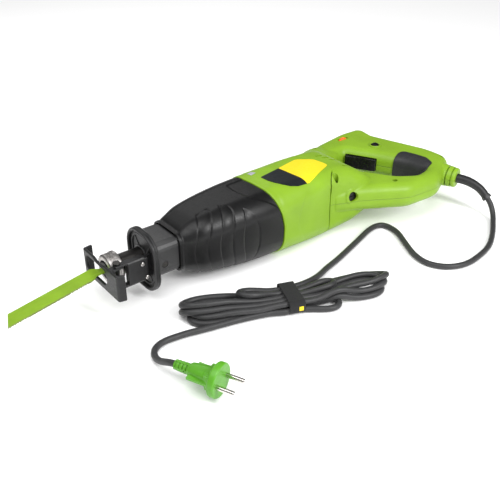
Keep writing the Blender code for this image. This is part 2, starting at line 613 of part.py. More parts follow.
def shell_openings(side):
    """Everything that is cut through or into one shell, as a list of cutters."""
    cutters = [trigger_box("trigger_slot_" + side, 6.0, 40.0, 22.6, 9.5, cutter=True)]
    brush_side = -1 if side == "left" else 1
    out = brush_direction(brush_side)
    start = (BRUSH_X, out.y * 30, out.z * 30)
    cutters.append(rod("brush_bore_" + side, start, out, 6.3, 40, segments=24, cutter=True))
    for number, (x, y, z, radius) in enumerate(SCREWS):
        if side == "left":
            cutters.append(rod("screw_recess_%d" % number, (x, y, z), (0, 0, 1), radius, 40,
                               segments=18, cutter=True))
    if side == "left":
        for number, (x, y) in enumerate(VENTS):
            cutters.append(box("vent_%d" % number, (x - 6.0, y - 1.6, 20), (x + 6.0, y + 1.6, 60), cutter=True))
        cutters.append(box("side_slit", (SLIT[0] - 5.0, SLIT[1] - 1.5, 8), (SLIT[0] + 5.0, SLIT[1] + 1.5, 50),
                           cutter=True))
        cutters.append(rod("button_bore", (*BUTTON_AT, 5.0), (0, 0, 1), 5.8, 30, segments=24, cutter=True))
        cutters.append(box("dial_slot", (DIAL_AT[0] - 9.4, DIAL_AT[1] - 3.0, 6.0),
                           (DIAL_AT[0] + 9.4, DIAL_AT[1] + 3.0, 30.0), cutter=True))
    return cutters


SCREWS = [(385.0, -64.0, 13.6, 3.4), (483.0, 10.0, 13.0, 3.0), (492.5, -51.5, 12.6, 3.0), (366.0, 68.0, 13.4, 3.2),
          (304.2, -37.3, 27.0, 4.0)]


GRIP_INSERT = [(412.0, -22.0, 0), (440.0, -13.0, 10), (461.0, -8.0, 8), (467.0, -28.0, 20), (470.0, -44.0, 12),
               (463.0, -60.0, 8), (446.0, -64.0, 6), (425.0, -56.0, 0)]


def grip_skin(name, outside, inside):
    """Shell round the handle's plate, between two distances out from its surface."""
    outlines = [rounded_outline(HANDLE), rounded_outline(GRIP_OPENING)]
    skins = []
    for word, grow in (("", outside), ("_core", inside)):
        half = HANDLE_HALF + grow
        skins.append(add(name + word, plate_bm(outlines, -half, half, HANDLE_ROUND + grow, -grow, 1), BLACK,
                         cutter=bool(word)))
    return skins


def handle():
    outer = handle_body("handle_outer", 0.0)
    inner = handle_body("handle_inner", WALL)
    for side, sign in (("left", 1), ("right", -1)):
        shell = bpy.data.objects.new("handle_%s_shell" % side, outer.data.copy())
        PARTS.objects.link(shell)
        shell.data.materials.clear()
        shell.data.materials.append(GREEN)
        far = (560.0, 130.0, sign * 60.0)
        near = (SEAM_2 - 20, -130.0, sign * 0.15)
        low = tuple(min(a, b) for a, b in zip(near, far))
        high = tuple(max(a, b) for a, b in zip(near, far))
        half = box("half_" + side, low, high, cutter=True)
        boolean(shell, half, "INTERSECT")
        if side == "left":
            boss = turned_bm([(0, 0), (0, 8.8), (4.2, 8.8), (5.0, 8.0), (5.0, 0)], (*BUTTON_AT, 14.6), (0, 0, 1), 28)
            boolean(shell, add("button_boss", boss, cutter=True), "UNION")
        boolean(shell, inner)
        cut(shell, *shell_openings(side))
        apply(shell)
    trigger_box("trigger", 0.0, 22.0, 22.0, 8.9, mat=BLACK, bevel=1.5)
    box("switch_body", (TRIGGER_MID[0] + 32.0, TRIGGER_MID[1] - 19, -9.5),
        (TRIGGER_MID[0] + 54.0, TRIGGER_MID[1] + 17, 8.0), BLACK, turn=(*TRIGGER_MID, GRIP_LEAN))
    rod("lock_button", (*BUTTON_AT, 12.0), (0, 0, 1), 5.4, 9.6, BLACK, 24, 1.6)
    wheel = turned_bm([(0, 0), (0, 8.2), (0.8, 9.0), (4.2, 9.0), (5.0, 8.2), (5.0, 0)],
                      (DIAL_AT[0], DIAL_AT[1] - 2.5, 10.4), (0, 1, 0), 28)
    add("speed_dial", wheel, ORANGE)


def fasteners():
    for number, (x, y, z, radius) in enumerate(SCREWS):
        head = turned_bm([(0, 0), (0, radius - 0.5), (1.2, radius - 0.5), (1.8, radius - 1.2), (1.8, 0)],
                         (x, y, z + 0.3), (0, 0, 1), 16)
        add("handle_screw_%d" % (number + 1), head, STEEL)


# ---- badge and grip insert ----
def badge():
    """Two-tone patch wrapped on the housing's left face and upper edge."""
    outlines = {"badge_dark": [(226, 6, 2), (250, 15, 0), (262, -26, 0), (252, -31, 4), (233, -24, 5)],
                "badge_yellow": [(250.6, 15.6, 0), (290, 22, 4), (300, 14, 3), (290, -26, 3), (262.6, -26.4, 0)]}
    for name, outline in outlines.items():
        skin = add(name, loft_bm([(x, y, a + 1.0, b + 1.0, c + 1.0) for x, y, a, b, c in HOUSING], steps=7),
                   BLACK if name.endswith("dark") else YELLOW)
        core = add(name + "_core", loft_bm([(x + d, y, a + GAP, b + GAP, c + GAP) for d, (x, y, a, b, c) in
                                            zip((-4, 0, 0, 4), HOUSING)], steps=7), cutter=True)
        prism = add(name + "_prism", plate_bm([rounded_outline(outline)], 20, 80), cutter=True)
        boolean(skin, core)
        boolean(skin, prism, "INTERSECT")


def soft_grip():
    """Rubber skin over the grip's left face, wrapped round its front edge."""
    skin, core = grip_skin("grip_insert", 1.5, GAP)
    prism = add("grip_prism", plate_bm([rounded_outline(GRIP_INSERT)], -12.5, 30.0), cutter=True)
    boolean(skin, core)
    boolean(skin, prism, "INTERSECT")


# ---- cord set ----
LEAD = [(501.2, -130.2, -21.3), (500.0, -138.0, -31.0), (491.0, -148.0, CORD_Z + 1.2), (476.0, -158.5, CORD_Z),
        (431.0, -184.8, CORD_Z), (402.0, -191.8, CORD_Z), (372.0, -192.4, CORD_Z), (352.4, -183.0, CORD_Z),
        (341.0, -164.0, CORD_Z), (343.0, -142.3, CORD_Z), (356.1, -114.4, CORD_Z), (368.8, -88.0, CORD_Z),
        (366.0, -66.0, CORD_Z), (349.1, -64.2, CORD_Z), (311.8, -75.8, CORD_Z), (263.6, -91.4, CORD_Z),
        (234.2, -100.4, CORD_Z), (205.3, -109.3, CORD_Z)]
TAIL = [(41.0, -98.6, CORD_Z), (30.0, -98.5, CORD_Z), (16.0, -95.7, CORD_Z), (2.5, -98.6, CORD_Z),
        (-5.0, -107.0, CORD_Z), (-7.2, -119.5, -38.5), (-6.2, -134.0, -31.0), (-5.0, -141.0, -27.4),
        (-4.2, -145.2, -26.2)]
HANK_MIDDLE, HANK_ANGLE = (162.0, -122.0), math.atan2(-76.0, 200.0)
# cross-sections of the tied hank: where along it, from and to across it, from and to in height, corner
HANK_SHAPE = [(-127.0, -3.0, 15.0, 3.0, 17.0, 5.0), (-123.0, -13.0, 24.0, 0.6, 24.5, 6.0),
              (-114.0, -17.5, 29.5, 0.1, 27.0, 5.0), (-95.0, -17.5, 29.5, 0.1, 27.0, 5.0),
              (-58.0, -19.0, 27.0, 0.1, 25.5, 5.0), (-38.0, -20.0, 24.5, 0.1, 22.0, 5.0),
              (-14.0, -20.8, 21.0, 0.3, 15.5, 3.5), (-9.6, -20.6, 20.6, 1.4, 14.7, 3.0),
              (9.6, -20.6, 20.6, 1.4, 14.7, 3.0), (14.0, -20.8, 21.0, 0.3, 15.5, 3.5),
              (36.0, -31.0, 23.0, 0.1, 19.5, 5.0), (58.0, -32.0, 23.5, 0.1, 21.5, 5.0),
              (74.0, -23.0, 25.0, 0.1, 21.5, 5.0), (106.0, -20.5, 28.0, 0.1, 21.0, 5.0),
              (118.0, -14.0, 24.0, 0.6, 19.0, 6.0), (124.0, -3.0, 15.0, 3.0, 14.5, 5.0)]
TIE_WIDTH, TIE_HALF, TIE_TOP, TIE_THICK = 18.0, 22.3, 16.4, 1.3
PLUG_START = (-4.0, -147.3, -25.9)
PLUG_FACE = (16.4, -193.3, -25.9)


def hank_frame():
    """The hank's own frame: X along it, Y across it, Z up from the floor."""
    place = mm(HANK_MIDDLE[0], HANK_MIDDLE[1], FLOOR_Z)
    return Matrix.Translation(place) @ Matrix.Rotation(HANK_ANGLE, 4, "Z") @ Matrix.Scale(0.001, 4)


def hank():
    """Tied bundle of cord as one solid, slimmer where the tie draws it in."""
    bm = bmesh.new()
    rings = []
    for along, left, right, low, high, corner in HANK_SHAPE:
        section = rounded_rectangle((right - left) / 2, (high - low) / 2, corner)
        rings.append([bm.verts.new((along, y + (left + right) / 2, z + (low + high) / 2)) for y, z in section])
    for a, b in zip(rings, rings[1:]):
        for k in range(len(a)):
            n = (k + 1) % len(a)
            bm.faces.new((a[k], a[n], b[n], b[k]))
    bm.faces.new(rings[0])
    bm.faces.new(rings[-1])
    bmesh.ops.transform(bm, matrix=hank_frame(), verts=bm.verts)
    add("cord_hank", bm, BLACK)


def tie():
    """Flat strap wrapped once round the hank's waist."""
    (x, y), half, base = HANK_MIDDLE, TIE_WIDTH / 2, FLOOR_Z + 0.05
    inner, t = TIE_HALF - TIE_THICK, TIE_THICK
    band = box("hank_tie", (x - half, y - TIE_HALF, base), (x + half, y + TIE_HALF, FLOOR_Z + TIE_TOP), BLACK, 2.5,
               turn=(x, y, HANK_ANGLE))
    core = box("tie_core", (x - half - 2, y - inner, base + t), (x + half + 2, y + inner, FLOOR_Z + TIE_TOP - t),
               bevel=1.6, cutter=True, turn=(x, y, HANK_ANGLE))
    cut(band, core)


def plug():
    """Two-pin plug: slotted strain relief, tapered body and a wide notched face."""
    start, face = Vector(PLUG_START), Vector(PLUG_FACE)
    direction = (face - start).normalized()
    reach = (face - start).length
    profile = [(0, 0), (0, 5.4), (14.0, 6.0), (15.0, 8.4), (reach - 8.0, 13.0), (reach - 6.5, 17.0), (reach, 17.6),
               (reach, 0)]
    body = add("plug_body", turned_bm(profile, start, direction, 28), GREEN)
    across = direction.cross(Vector((0, 0, 1))).normalized()
    for number, side in enumerate((-1, 1)):
        foot = face + across * side * 9.5 + direction * GAP
        pin = turned_bm([(0, 0), (0, 2.4), (18.2, 2.4), (19.0, 1.6), (19.0, 0)], foot, direction, 12)
        add("plug_pin_%d" % (number + 1), pin, SILVER)


def cord_set():
    sleeve = [along_gland(-10.0), along_gland(0.0), (491.0, -101.0, -2.0), (497.5, -115.0, -8.5),
              (501.0, -129.0, -20.0)]
    tube("strain_relief", sleeve, 6.0, RUBBER, step=7.0)
    tube("cord_lead", LEAD, CORD_R, BLACK)
    tube("cord_tail", TAIL, CORD_R, BLACK)
    hank()
    tie()
    plug()
    tube("inner_cable", [along_gland(-10.6), (476.0, -58.0, 0), (470.0, -30.0, 0), (463.0, -8.0, 0)], CORD_R, BLACK,
         step=10.0)


def build():
    blade()
    clamp_and_plunger()
    shoe()
    shoe_support()
    nose()
    gearbox()
    boot()
    gear_train()
    motor()
    brushes()
    handle()
    fasteners()
    badge()
    soft_grip()
    cord_set()


build()
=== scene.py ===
"""Looks for the corded reciprocating saw: fine surfaces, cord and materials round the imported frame.

Lengths in this file are millimetres on the saw's own axes: x = 0 lies 3.5 mm behind the shoe's face,
and y = z = 0 on the motor's axis. mm() turns them into the frame's metres.
"""
import json
import math

import bmesh
import bpy
import numpy as np
from mathutils import Matrix, Vector

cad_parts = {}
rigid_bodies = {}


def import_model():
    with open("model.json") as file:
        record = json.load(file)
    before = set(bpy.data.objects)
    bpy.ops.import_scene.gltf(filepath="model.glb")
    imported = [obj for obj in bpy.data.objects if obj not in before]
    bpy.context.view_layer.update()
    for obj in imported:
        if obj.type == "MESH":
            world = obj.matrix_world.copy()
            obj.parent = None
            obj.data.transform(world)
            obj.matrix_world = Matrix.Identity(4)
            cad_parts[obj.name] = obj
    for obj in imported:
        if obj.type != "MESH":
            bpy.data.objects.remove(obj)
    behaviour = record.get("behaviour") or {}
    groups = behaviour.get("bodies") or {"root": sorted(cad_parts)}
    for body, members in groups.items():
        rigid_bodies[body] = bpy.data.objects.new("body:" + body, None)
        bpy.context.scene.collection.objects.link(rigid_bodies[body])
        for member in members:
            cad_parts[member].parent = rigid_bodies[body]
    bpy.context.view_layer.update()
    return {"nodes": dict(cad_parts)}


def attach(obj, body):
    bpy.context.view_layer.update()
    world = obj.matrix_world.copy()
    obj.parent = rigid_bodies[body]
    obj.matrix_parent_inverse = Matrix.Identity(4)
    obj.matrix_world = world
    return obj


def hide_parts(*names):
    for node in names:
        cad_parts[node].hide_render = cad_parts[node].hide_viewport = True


for old in list(bpy.data.objects):
    bpy.data.objects.remove(old, do_unlink=True)
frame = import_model()

# ---- the frame's own dimensions (mm) ----
FLOOR_Z = -43.9
CENTRE_X, CENTRE_Y = 193.15, 2.35
SEAM_1, SEAM_2 = 213.0, 297.0
ROD_Y, ROD_R = 2.0, 11.5
WALL = 3.2
HANDLE_HALF, HANDLE_ROUND = 17.5, 13.0
BRUSH_X, BRUSH_TILT = 325.0, math.radians(8.0)
GRIP_LEAN = math.atan2(23.0, 38.0)
TRIGGER_MID = (413.5, 24.8)
BUTTON_AT, DIAL_AT = (446.0, 29.0), (427.0, 74.0)
CORD_R = 3.5
CORD_Z = FLOOR_Z + CORD_R + 0.1
BODY = "saw_body"
MM = 0.001
UP = Vector((0, 0, 1))


def mm(x, y, z):
    """Place on the saw's axes in mm, as a place in the frame in metres."""
    return Vector((x - CENTRE_X, y - CENTRE_Y, z - FLOOR_Z)) * MM


def metres(points):
    """Rows of mm as rows of metres."""
    return (np.asarray(points, float) - (CENTRE_X, CENTRE_Y, FLOOR_Z)) * MM


def show(name, data):
    """New object for data, linked to the scene."""
    obj = bpy.data.objects.new(name, data)
    bpy.context.scene.collection.objects.link(obj)
    return obj


# ---- camera, light and floor ----
CAMERA_AZIMUTH, CAMERA_ELEVATION = math.radians(-38.0), math.radians(31.6)
CAMERA_DISTANCE, CAMERA_TARGET = 0.7992, (152.0, -61.7, 0.0)
LENS_MM = 51.37
SKY, SKY_IN_GLOSS, FLOOR_WHITE = 0.80, 0.06, 0.97


def add_camera():
    data = bpy.data.cameras.new("camera")
    data.lens, data.sensor_width = LENS_MM, 36.0
    data.clip_start, data.clip_end = 0.01, 50.0
    camera = show("camera", data)
    flat = math.cos(CAMERA_ELEVATION)
    back = Vector((math.sin(CAMERA_AZIMUTH) * flat, -math.cos(CAMERA_AZIMUTH) * flat,
                   math.sin(CAMERA_ELEVATION)))
    camera.location = mm(*CAMERA_TARGET) + back * CAMERA_DISTANCE
    camera.rotation_mode = "QUATERNION"
    camera.rotation_quaternion = (-back).to_track_quat("-Z", "Y")
    bpy.context.scene.camera = camera


def area_light(name, place, aim, size, power, colour=(1, 1, 1)):
    data = bpy.data.lights.new(name, "AREA")
    data.shape, data.size, data.size_y = "RECTANGLE", size[0], size[1]
    data.energy, data.color = power, colour
    light = show(name, data)
    light.location = place
    light.rotation_mode = "QUATERNION"
    light.rotation_quaternion = (Vector(aim) - Vector(place)).to_track_quat("-Z", "Y")


def studio():
    """White surroundings that glossy faces see darker, three lights and a white floor."""
    world = bpy.data.worlds.new("studio")
    bpy.context.scene.world = world
    world.use_nodes = True
    nodes, links = world.node_tree.nodes, world.node_tree.links
    soft, dark = nodes["Background"], nodes.new("ShaderNodeBackground")
    soft.inputs["Color"].default_value = dark.inputs["Color"].default_value = (1.0, 1.0, 1.0, 1)
    soft.inputs["Strength"].default_value = SKY
    dark.inputs["Strength"].default_value = SKY_IN_GLOSS
    blend = nodes.new("ShaderNodeMixShader")
    links.new(nodes.new("ShaderNodeLightPath").outputs["Is Glossy Ray"], blend.inputs["Fac"])
    links.new(soft.outputs[0], blend.inputs[1])
    links.new(dark.outputs[0], blend.inputs[2])
    links.new(blend.outputs[0], nodes["World Output"].inputs["Surface"])
    area_light("key", (-0.5, -0.25, 1.25), (0.0, 0.0, 0.0), (1.3, 0.8), 11.0)
    area_light("rim", (0.2, 1.1, 0.9), (0.0, 0.0, 0.05), (1.2, 0.35), 2.5)
    area_light("side", (0.24, -1.10, 0.82), (-0.03, 0.0, 0.045), (0.20, 0.55), 12.0)
    bpy.context.scene.view_settings.view_transform = "Standard"
    bm = bmesh.new()
    bmesh.ops.create_grid(bm, x_segments=2, y_segments=2, size=6.0)
    mesh = bpy.data.meshes.new("floor")
    bm.to_mesh(mesh)
    bm.free()
    floor = show("floor", mesh)
    floor.location.z = -0.0003
    paint = bpy.data.materials.new("pale_floor")
    paint.use_nodes = True
    shader = paint.node_tree.nodes["Principled BSDF"]
    shader.inputs["Base Color"].default_value = (FLOOR_WHITE, FLOOR_WHITE, FLOOR_WHITE, 1)
    shader.inputs["Roughness"].default_value = 0.85
    mesh.materials.append(paint)


# ---- materials ----
class Paint:
    """A Principled material with short calls for the nodes that feed it."""

    def __init__(self, name, rough, metal=0.0, **sockets):
        self.mat = bpy.data.materials.new(name)
        self.mat.use_nodes = True
        self.nodes, self.links = self.mat.node_tree.nodes, self.mat.node_tree.links
        self.shader = self.nodes["Principled BSDF"]
        self.shader.inputs["Roughness"].default_value = rough
        self.shader.inputs["Metallic"].default_value = metal
        for key, value in sockets.items():
            self.shader.inputs[key.replace("_", " ")].default_value = value
        self.place = self.nodes.new("ShaderNodeTexCoord").outputs["Object"]
        self.height = None

    def stretched(self, scale):
        node = self.nodes.new("ShaderNodeMapping")
        node.inputs["Scale"].default_value = scale
        self.links.new(self.place, node.inputs["Vector"])
        return node.outputs["Vector"]

    def noise(self, scale, detail=3.0, rough=0.55, stretch=None):
        node = self.nodes.new("ShaderNodeTexNoise")
        node.inputs["Scale"].default_value = scale
        node.inputs["Detail"].default_value = detail
        node.inputs["Roughness"].default_value = rough
        self.links.new(self.stretched(stretch) if stretch else self.place, node.inputs["Vector"])
        return node.outputs["Fac"]

    def span(self, value, low, high, to_low=0.0, to_high=1.0):
        node = self.nodes.new("ShaderNodeMapRange")
        for key, number in (("From Min", low), ("From Max", high), ("To Min", to_low), ("To Max", to_high)):
            node.inputs[key].default_value = number
        self.links.new(value, node.inputs["Value"])
        return node.outputs["Result"]

    def mix(self, factor, one, two):
        node = self.nodes.new("ShaderNodeMix")
        node.data_type = "RGBA"
        self.links.new(factor, node.inputs["Factor"])
        for socket, colour in ((node.inputs[6], one), (node.inputs[7], two)):
            if isinstance(colour, tuple):
                socket.default_value = (*colour[:3], 1.0)
            else:
                self.links.new(colour, socket)
        return node.outputs[2]

    def axis(self, which):
        node = self.nodes.new("ShaderNodeSeparateXYZ")
        self.links.new(self.place, node.inputs[0])
        return node.outputs[which]

    def maths(self, operation, one, two=None):
        node = self.nodes.new("ShaderNodeMath")
        node.operation = operation
        for socket, value in zip(node.inputs, (one, two)):
            if value is None:
                continue
            if isinstance(value, (int, float)):
                socket.default_value = value
            else:
                self.links.new(value, socket)
        return node.outputs[0]

    def worn_edge(self, low=0.52, high=0.60):
        node = self.nodes.new("ShaderNodeNewGeometry")
        return self.span(node.outputs["Pointiness"], low, high)

    def colour(self, value):
        if isinstance(value, tuple):
            self.shader.inputs["Base Color"].default_value = (*value[:3], 1.0)
        else:
            self.links.new(value, self.shader.inputs["Base Color"])

    def roughness(self, value):
        self.links.new(value, self.shader.inputs["Roughness"])

    def bump(self, value, depth_mm, strength=1.0):
        node = self.nodes.new("ShaderNodeBump")
        node.inputs["Distance"].default_value = depth_mm * MM
        node.inputs["Strength"].default_value = strength
        self.links.new(value, node.inputs["Height"])
        if self.height:
            self.links.new(self.height, node.inputs["Normal"])
        self.links.new(node.outputs["Normal"], self.shader.inputs["Normal"])
        self.height = node.outputs["Normal"]


def shade(colour, factor):
    return tuple(min(1.0, c * factor) for c in colour)


def moulded(name, colour, rough=0.42, grain=1.0, seam=False, **sockets):
    """Injection-moulded plastic: fine spark texture, slight tone drift, paler rubbed edges."""
    paint = Paint(name, rough, **sockets)
    drift = paint.span(paint.noise(22.0, 2.0), 0.35, 0.65)
    body = paint.mix(drift, shade(colour, 0.93), shade(colour, 1.06))
    body = paint.mix(paint.maths("MULTIPLY", paint.worn_edge(), 0.35), body, shade(colour, 1.35))
    grains = paint.noise(2300.0, 2.0, 0.6)
    if seam:
        away = paint.maths("ABSOLUTE", paint.maths("SUBTRACT", paint.axis(2), -FLOOR_Z * MM))
        line = paint.span(away, 0.00022, 0.00055, 1.0, 0.0)
        body = paint.mix(paint.maths("MULTIPLY", line, 0.55), body, shade(colour, 0.55))
        paint.bump(paint.maths("SUBTRACT", 1.0, line), 0.3)
    paint.colour(body)
    paint.roughness(paint.span(paint.noise(300.0, 4.0), 0.3, 0.7, rough - 0.06, rough + 0.09))
    paint.bump(grains, 0.05 * grain)
    paint.bump(paint.noise(160.0, 3.0), 0.05)
    return paint.mat


def rubber(name, colour, rough=0.38, **sockets):
    """Smooth moulded rubber: dusty patches and a faint grain."""
    paint = Paint(name, rough, **sockets)
    dust = paint.span(paint.noise(160.0, 5.0, 0.6), 0.45, 0.75)
    paint.colour(paint.mix(dust, colour, shade(colour, 1.25)))
    paint.roughness(paint.span(paint.noise(400.0, 4.0), 0.3, 0.7, rough - 0.04, rough + 0.07))
    paint.bump(paint.noise(1500.0, 2.0), 0.02)
    return paint.mat


def metal(name, colour, rough, streak=(1.0, 1.0, 1.0), wear=None, **sockets):
    """Machined or cast metal, with streaks along the short axis of streak and dull patches."""
    paint = Paint(name, rough, 1.0, **sockets)
    lines = paint.noise(900.0, 4.0, 0.7, stretch=streak)
    patches = paint.noise(70.0, 4.0)
    body = paint.mix(paint.span(patches, 0.4, 0.7), colour, shade(colour, 0.72))
    if wear:
        body = paint.mix(paint.worn_edge(0.53, 0.62), body, wear)
    paint.colour(body)
    paint.roughness(paint.span(lines, 0.3, 0.7, rough - 0.08, rough + 0.14))
    paint.bump(lines, 0.03)
    return paint.mat


def cast_paint(name, colour):
    """Black paint over a casting: slightly pitted, with greyer rubbed edges."""
    paint = Paint(name, 0.4, Specular_IOR_Level=0.4)
    body = paint.mix(paint.span(paint.noise(120.0, 4.0), 0.4, 0.7), colour, shade(colour, 1.3))
    worn = paint.maths("MULTIPLY", paint.worn_edge(0.53, 0.62), 0.6)
    paint.colour(paint.mix(worn, body, (0.10, 0.10, 0.10)))
    paint.roughness(paint.span(paint.noise(500.0, 4.0), 0.3, 0.7, 0.34, 0.5))
    paint.bump(paint.noise(700.0, 3.0, 0.6), 0.06)
    return paint.mat


def strap_cloth(name, colour):
    """Hook-and-loop strap: matt fibres with a fine ribbed weave."""
    paint = Paint(name, 0.85, Sheen_Weight=0.08)
    fibres = paint.noise(1800.0, 3.0, 0.7)
    paint.colour(paint.mix(paint.span(fibres, 0.35, 0.75), colour, shade(colour, 1.8)))
    paint.bump(fibres, 0.25)
    paint.bump(paint.noise(700.0, 2.0, 0.5, stretch=(1.0, 0.15, 0.15)), 0.2)
    return paint.mat


GREEN = (0.205, 0.365, 0.014)
PLUG_GREEN = (0.080, 0.300, 0.010)
BLADE_GREEN = (0.185, 0.325, 0.010)

add_camera()
studio()
MAT = {
    "green": moulded("moulded_green", GREEN, 0.42, seam=True, Specular_IOR_Level=0.4),
    "housing": moulded("moulded_green_housing", GREEN, 0.40, Specular_IOR_Level=0.4),
    "plug": moulded("plug_green", PLUG_GREEN, 0.36, 0.6),
    "black": moulded("black_plastic", (0.012, 0.012, 0.0125), 0.38, 0.8, Specular_IOR_Level=0.35),
    "trigger": moulded("trigger_black", (0.006, 0.006, 0.0065), 0.30, 0.6, Specular_IOR_Level=0.3),
    "orange": moulded("dial_orange", (0.85, 0.13, 0.008), 0.32, 0.6),
    "boot": rubber("boot_rubber", (0.0055, 0.0055, 0.0058), 0.40, Specular_IOR_Level=0.4),
    "boot_gloss": rubber("boot_glossy_bands", (0.0035, 0.0035, 0.0037), 0.2),
    "badge_dark": moulded("badge_dark_print", (0.013, 0.016, 0.018), 0.34, 0.3, Specular_IOR_Level=0.35),
    "yellow": moulded("badge_yellow_print", (0.80, 0.60, 0.008), 0.36, 0.3),
    "grey_label": moulded("grey_label_print", (0.34, 0.34, 0.38), 0.32, 0.3),
    "strap": strap_cloth("strap_weave", (0.0075, 0.0075, 0.0078)),
    "insert": rubber("insert_rubber", (0.026, 0.026, 0.028), 0.44, Specular_IOR_Level=0.35),
    "sheath": rubber("cord_sheath", (0.033, 0.033, 0.034), 0.46, Specular_IOR_Level=0.4),
    "relief": rubber("relief_rubber", (0.018, 0.018, 0.019), 0.46, Specular_IOR_Level=0.4),
    "cast_black": cast_paint("cast_black", (0.013, 0.013, 0.0135)),
    "steel": metal("bright_steel", (0.66, 0.63, 0.61), 0.36, (0.05, 1, 1)),
    "dark_steel": metal("dark_steel", (0.030, 0.029, 0.028), 0.38, (0.05, 1, 1), wear=(0.12, 0.115, 0.11)),
    "nickel": metal("nickel_pins", (0.78, 0.74, 0.70), 0.20),
    "copper": metal("copper_winding", (0.75, 0.33, 0.15), 0.35, (1, 0.1, 0.1)),
    "brass": metal("brass_tube", (0.75, 0.56, 0.25), 0.3),
    "bronze": metal("sintered_bronze", (0.45, 0.30, 0.15), 0.5),
    "aluminium": metal("cast_aluminium", (0.62, 0.62, 0.63), 0.45),
}


# ---- mesh helpers ----
def new_object(name, mesh, mat=None, angle=35.0):
    if mat:
        mesh.materials.clear()
        mesh.materials.append(mat)
    mesh.shade_smooth()
    if angle:
        mesh.set_sharp_from_angle(angle=math.radians(angle))
    return show(name, mesh)


def from_bm(name, bm, mat=None, angle=35.0, merge=1e-6):
    bmesh.ops.remove_doubles(bm, verts=bm.verts, dist=merge)
    bmesh.ops.recalc_face_normals(bm, faces=bm.faces)
    mesh = bpy.data.meshes.new(name)
    bm.to_mesh(mesh)
    bm.free()
    return new_object(name, mesh, mat, angle)


def piece(obj, body, replaced):
    """Make obj part of the saw: it rides on body, and stands for the CAD nodes replaced."""
    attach(obj, body)
    if replaced:
        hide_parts(*replaced)
    return obj


def bake(obj, angle=35.0):
    """Replace obj's mesh with its evaluated one, and drop its modifiers."""
    graph = bpy.context.evaluated_depsgraph_get()
    mesh = bpy.data.meshes.new_from_object(obj.evaluated_get(graph))
    obj.modifiers.clear()
    obj.data = mesh
    mesh.shade_smooth()
    if angle:
        mesh.set_sharp_from_angle(angle=math.radians(angle))
    return obj


def combine(obj, others, operation="DIFFERENCE", angle=35.0):
    """Cut others out of obj, or join them to it, and remove them."""
    for other in others:
        mod = obj.modifiers.new("combine", "BOOLEAN")
        mod.operation, mod.solver, mod.object = operation, "EXACT", other
    bake(obj, angle)
    for other in others:
        bpy.data.objects.remove(other, do_unlink=True)
    return obj


def remesh(obj, voxel_mm, rounds):
    """Fuse obj into one skin of even quads and soften its creases, as moulding does."""
    mod = obj.modifiers.new("fuse", "REMESH")
    mod.mode, mod.voxel_size, mod.use_smooth_shade = "VOXEL", voxel_mm * MM, True
    soft = obj.modifiers.new("soften", "SMOOTH")
    soft.factor, soft.iterations = 0.5, rounds
    return bake(obj, 0)


def bevelled(obj, width_mm, segments=3, angle=30.0):
    mod = obj.modifiers.new("edges", "BEVEL")
    mod.width, mod.segments, mod.limit_method = width_mm * MM, segments, "ANGLE"
    mod.angle_limit, mod.harden_normals = math.radians(angle), False
    return obj


def frame_to(direction):
    """Rotation whose local +Z points along direction and whose local X is nearest to upwards."""
    z = Vector(direction).normalized()
    x = UP - z * UP.dot(z)
    x = x.normalized() if x.length > 1e-6 else z.orthogonal().normalized()
    return Matrix((x, z.cross(x), z)).transposed().to_4x4()


def join_rings(bm, a, b):
    """Quads between two closed rings of vertices."""
    for k in range(len(a)):
        n = (k + 1) % len(a)
        bm.faces.new((a[k], a[n], b[n], b[k]))


def cap_ends(bm, rings):
    """Faces that close the first and the last ring."""
    bm.faces.new(rings[0])
    bm.faces.new(rings[-1])


def turn_about(spot, angle):
    """Turn by angle about the Z line through spot, (x, y) in mm."""
    at = mm(*spot, 0)
    return Matrix.Translation(at) @ Matrix.Rotation(angle, 4, "Z") @ Matrix.Translation(-at)


def box(name, low, high, mat=None, bevel=0.0, segments=3, turn=None):
    """Box between two corners in mm; turn is (x, y, angle) about a Z line."""
    bm = bmesh.new()
    bmesh.ops.create_cube(bm, size=1.0)
    size = [(b - a) * MM for a, b in zip(low, high)]
    bmesh.ops.scale(bm, vec=size, verts=bm.verts)
    if bevel:
        bmesh.ops.bevel(bm, geom=bm.edges[:], offset=bevel * MM, segments=segments, profile=0.5,
                        affect="EDGES")
    bmesh.ops.translate(bm, vec=mm(*[(a + b) / 2 for a, b in zip(low, high)]), verts=bm.verts)
    if turn:
        bmesh.ops.rotate(bm, cent=mm(turn[0], turn[1], 0), verts=bm.verts,
                         matrix=Matrix.Rotation(turn[2], 3, "Z"))
    return from_bm(name, bm, mat)


def rounded_profile(profile, radius):
    """Profile (along, out) with every inner corner rounded by about that radius."""
    out = [Vector(profile[0])]
    for a, b, c in zip(profile, profile[1:], profile[2:]):
        a, b, c = Vector(a), Vector(b), Vector(c)
        reach = min(radius, (a - b).length * 0.45, (c - b).length * 0.45)
        if reach < 0.02:
            out.append(b)
            continue
        p, q = b + (a - b).normalized() * reach, b + (c - b).normalized() * reach
        for k in range(5):
            t = k / 4
            out.append(p * (1 - t) ** 2 + b * 2 * t * (1 - t) + q * t * t)
    return out + [Vector(profile[-1])]


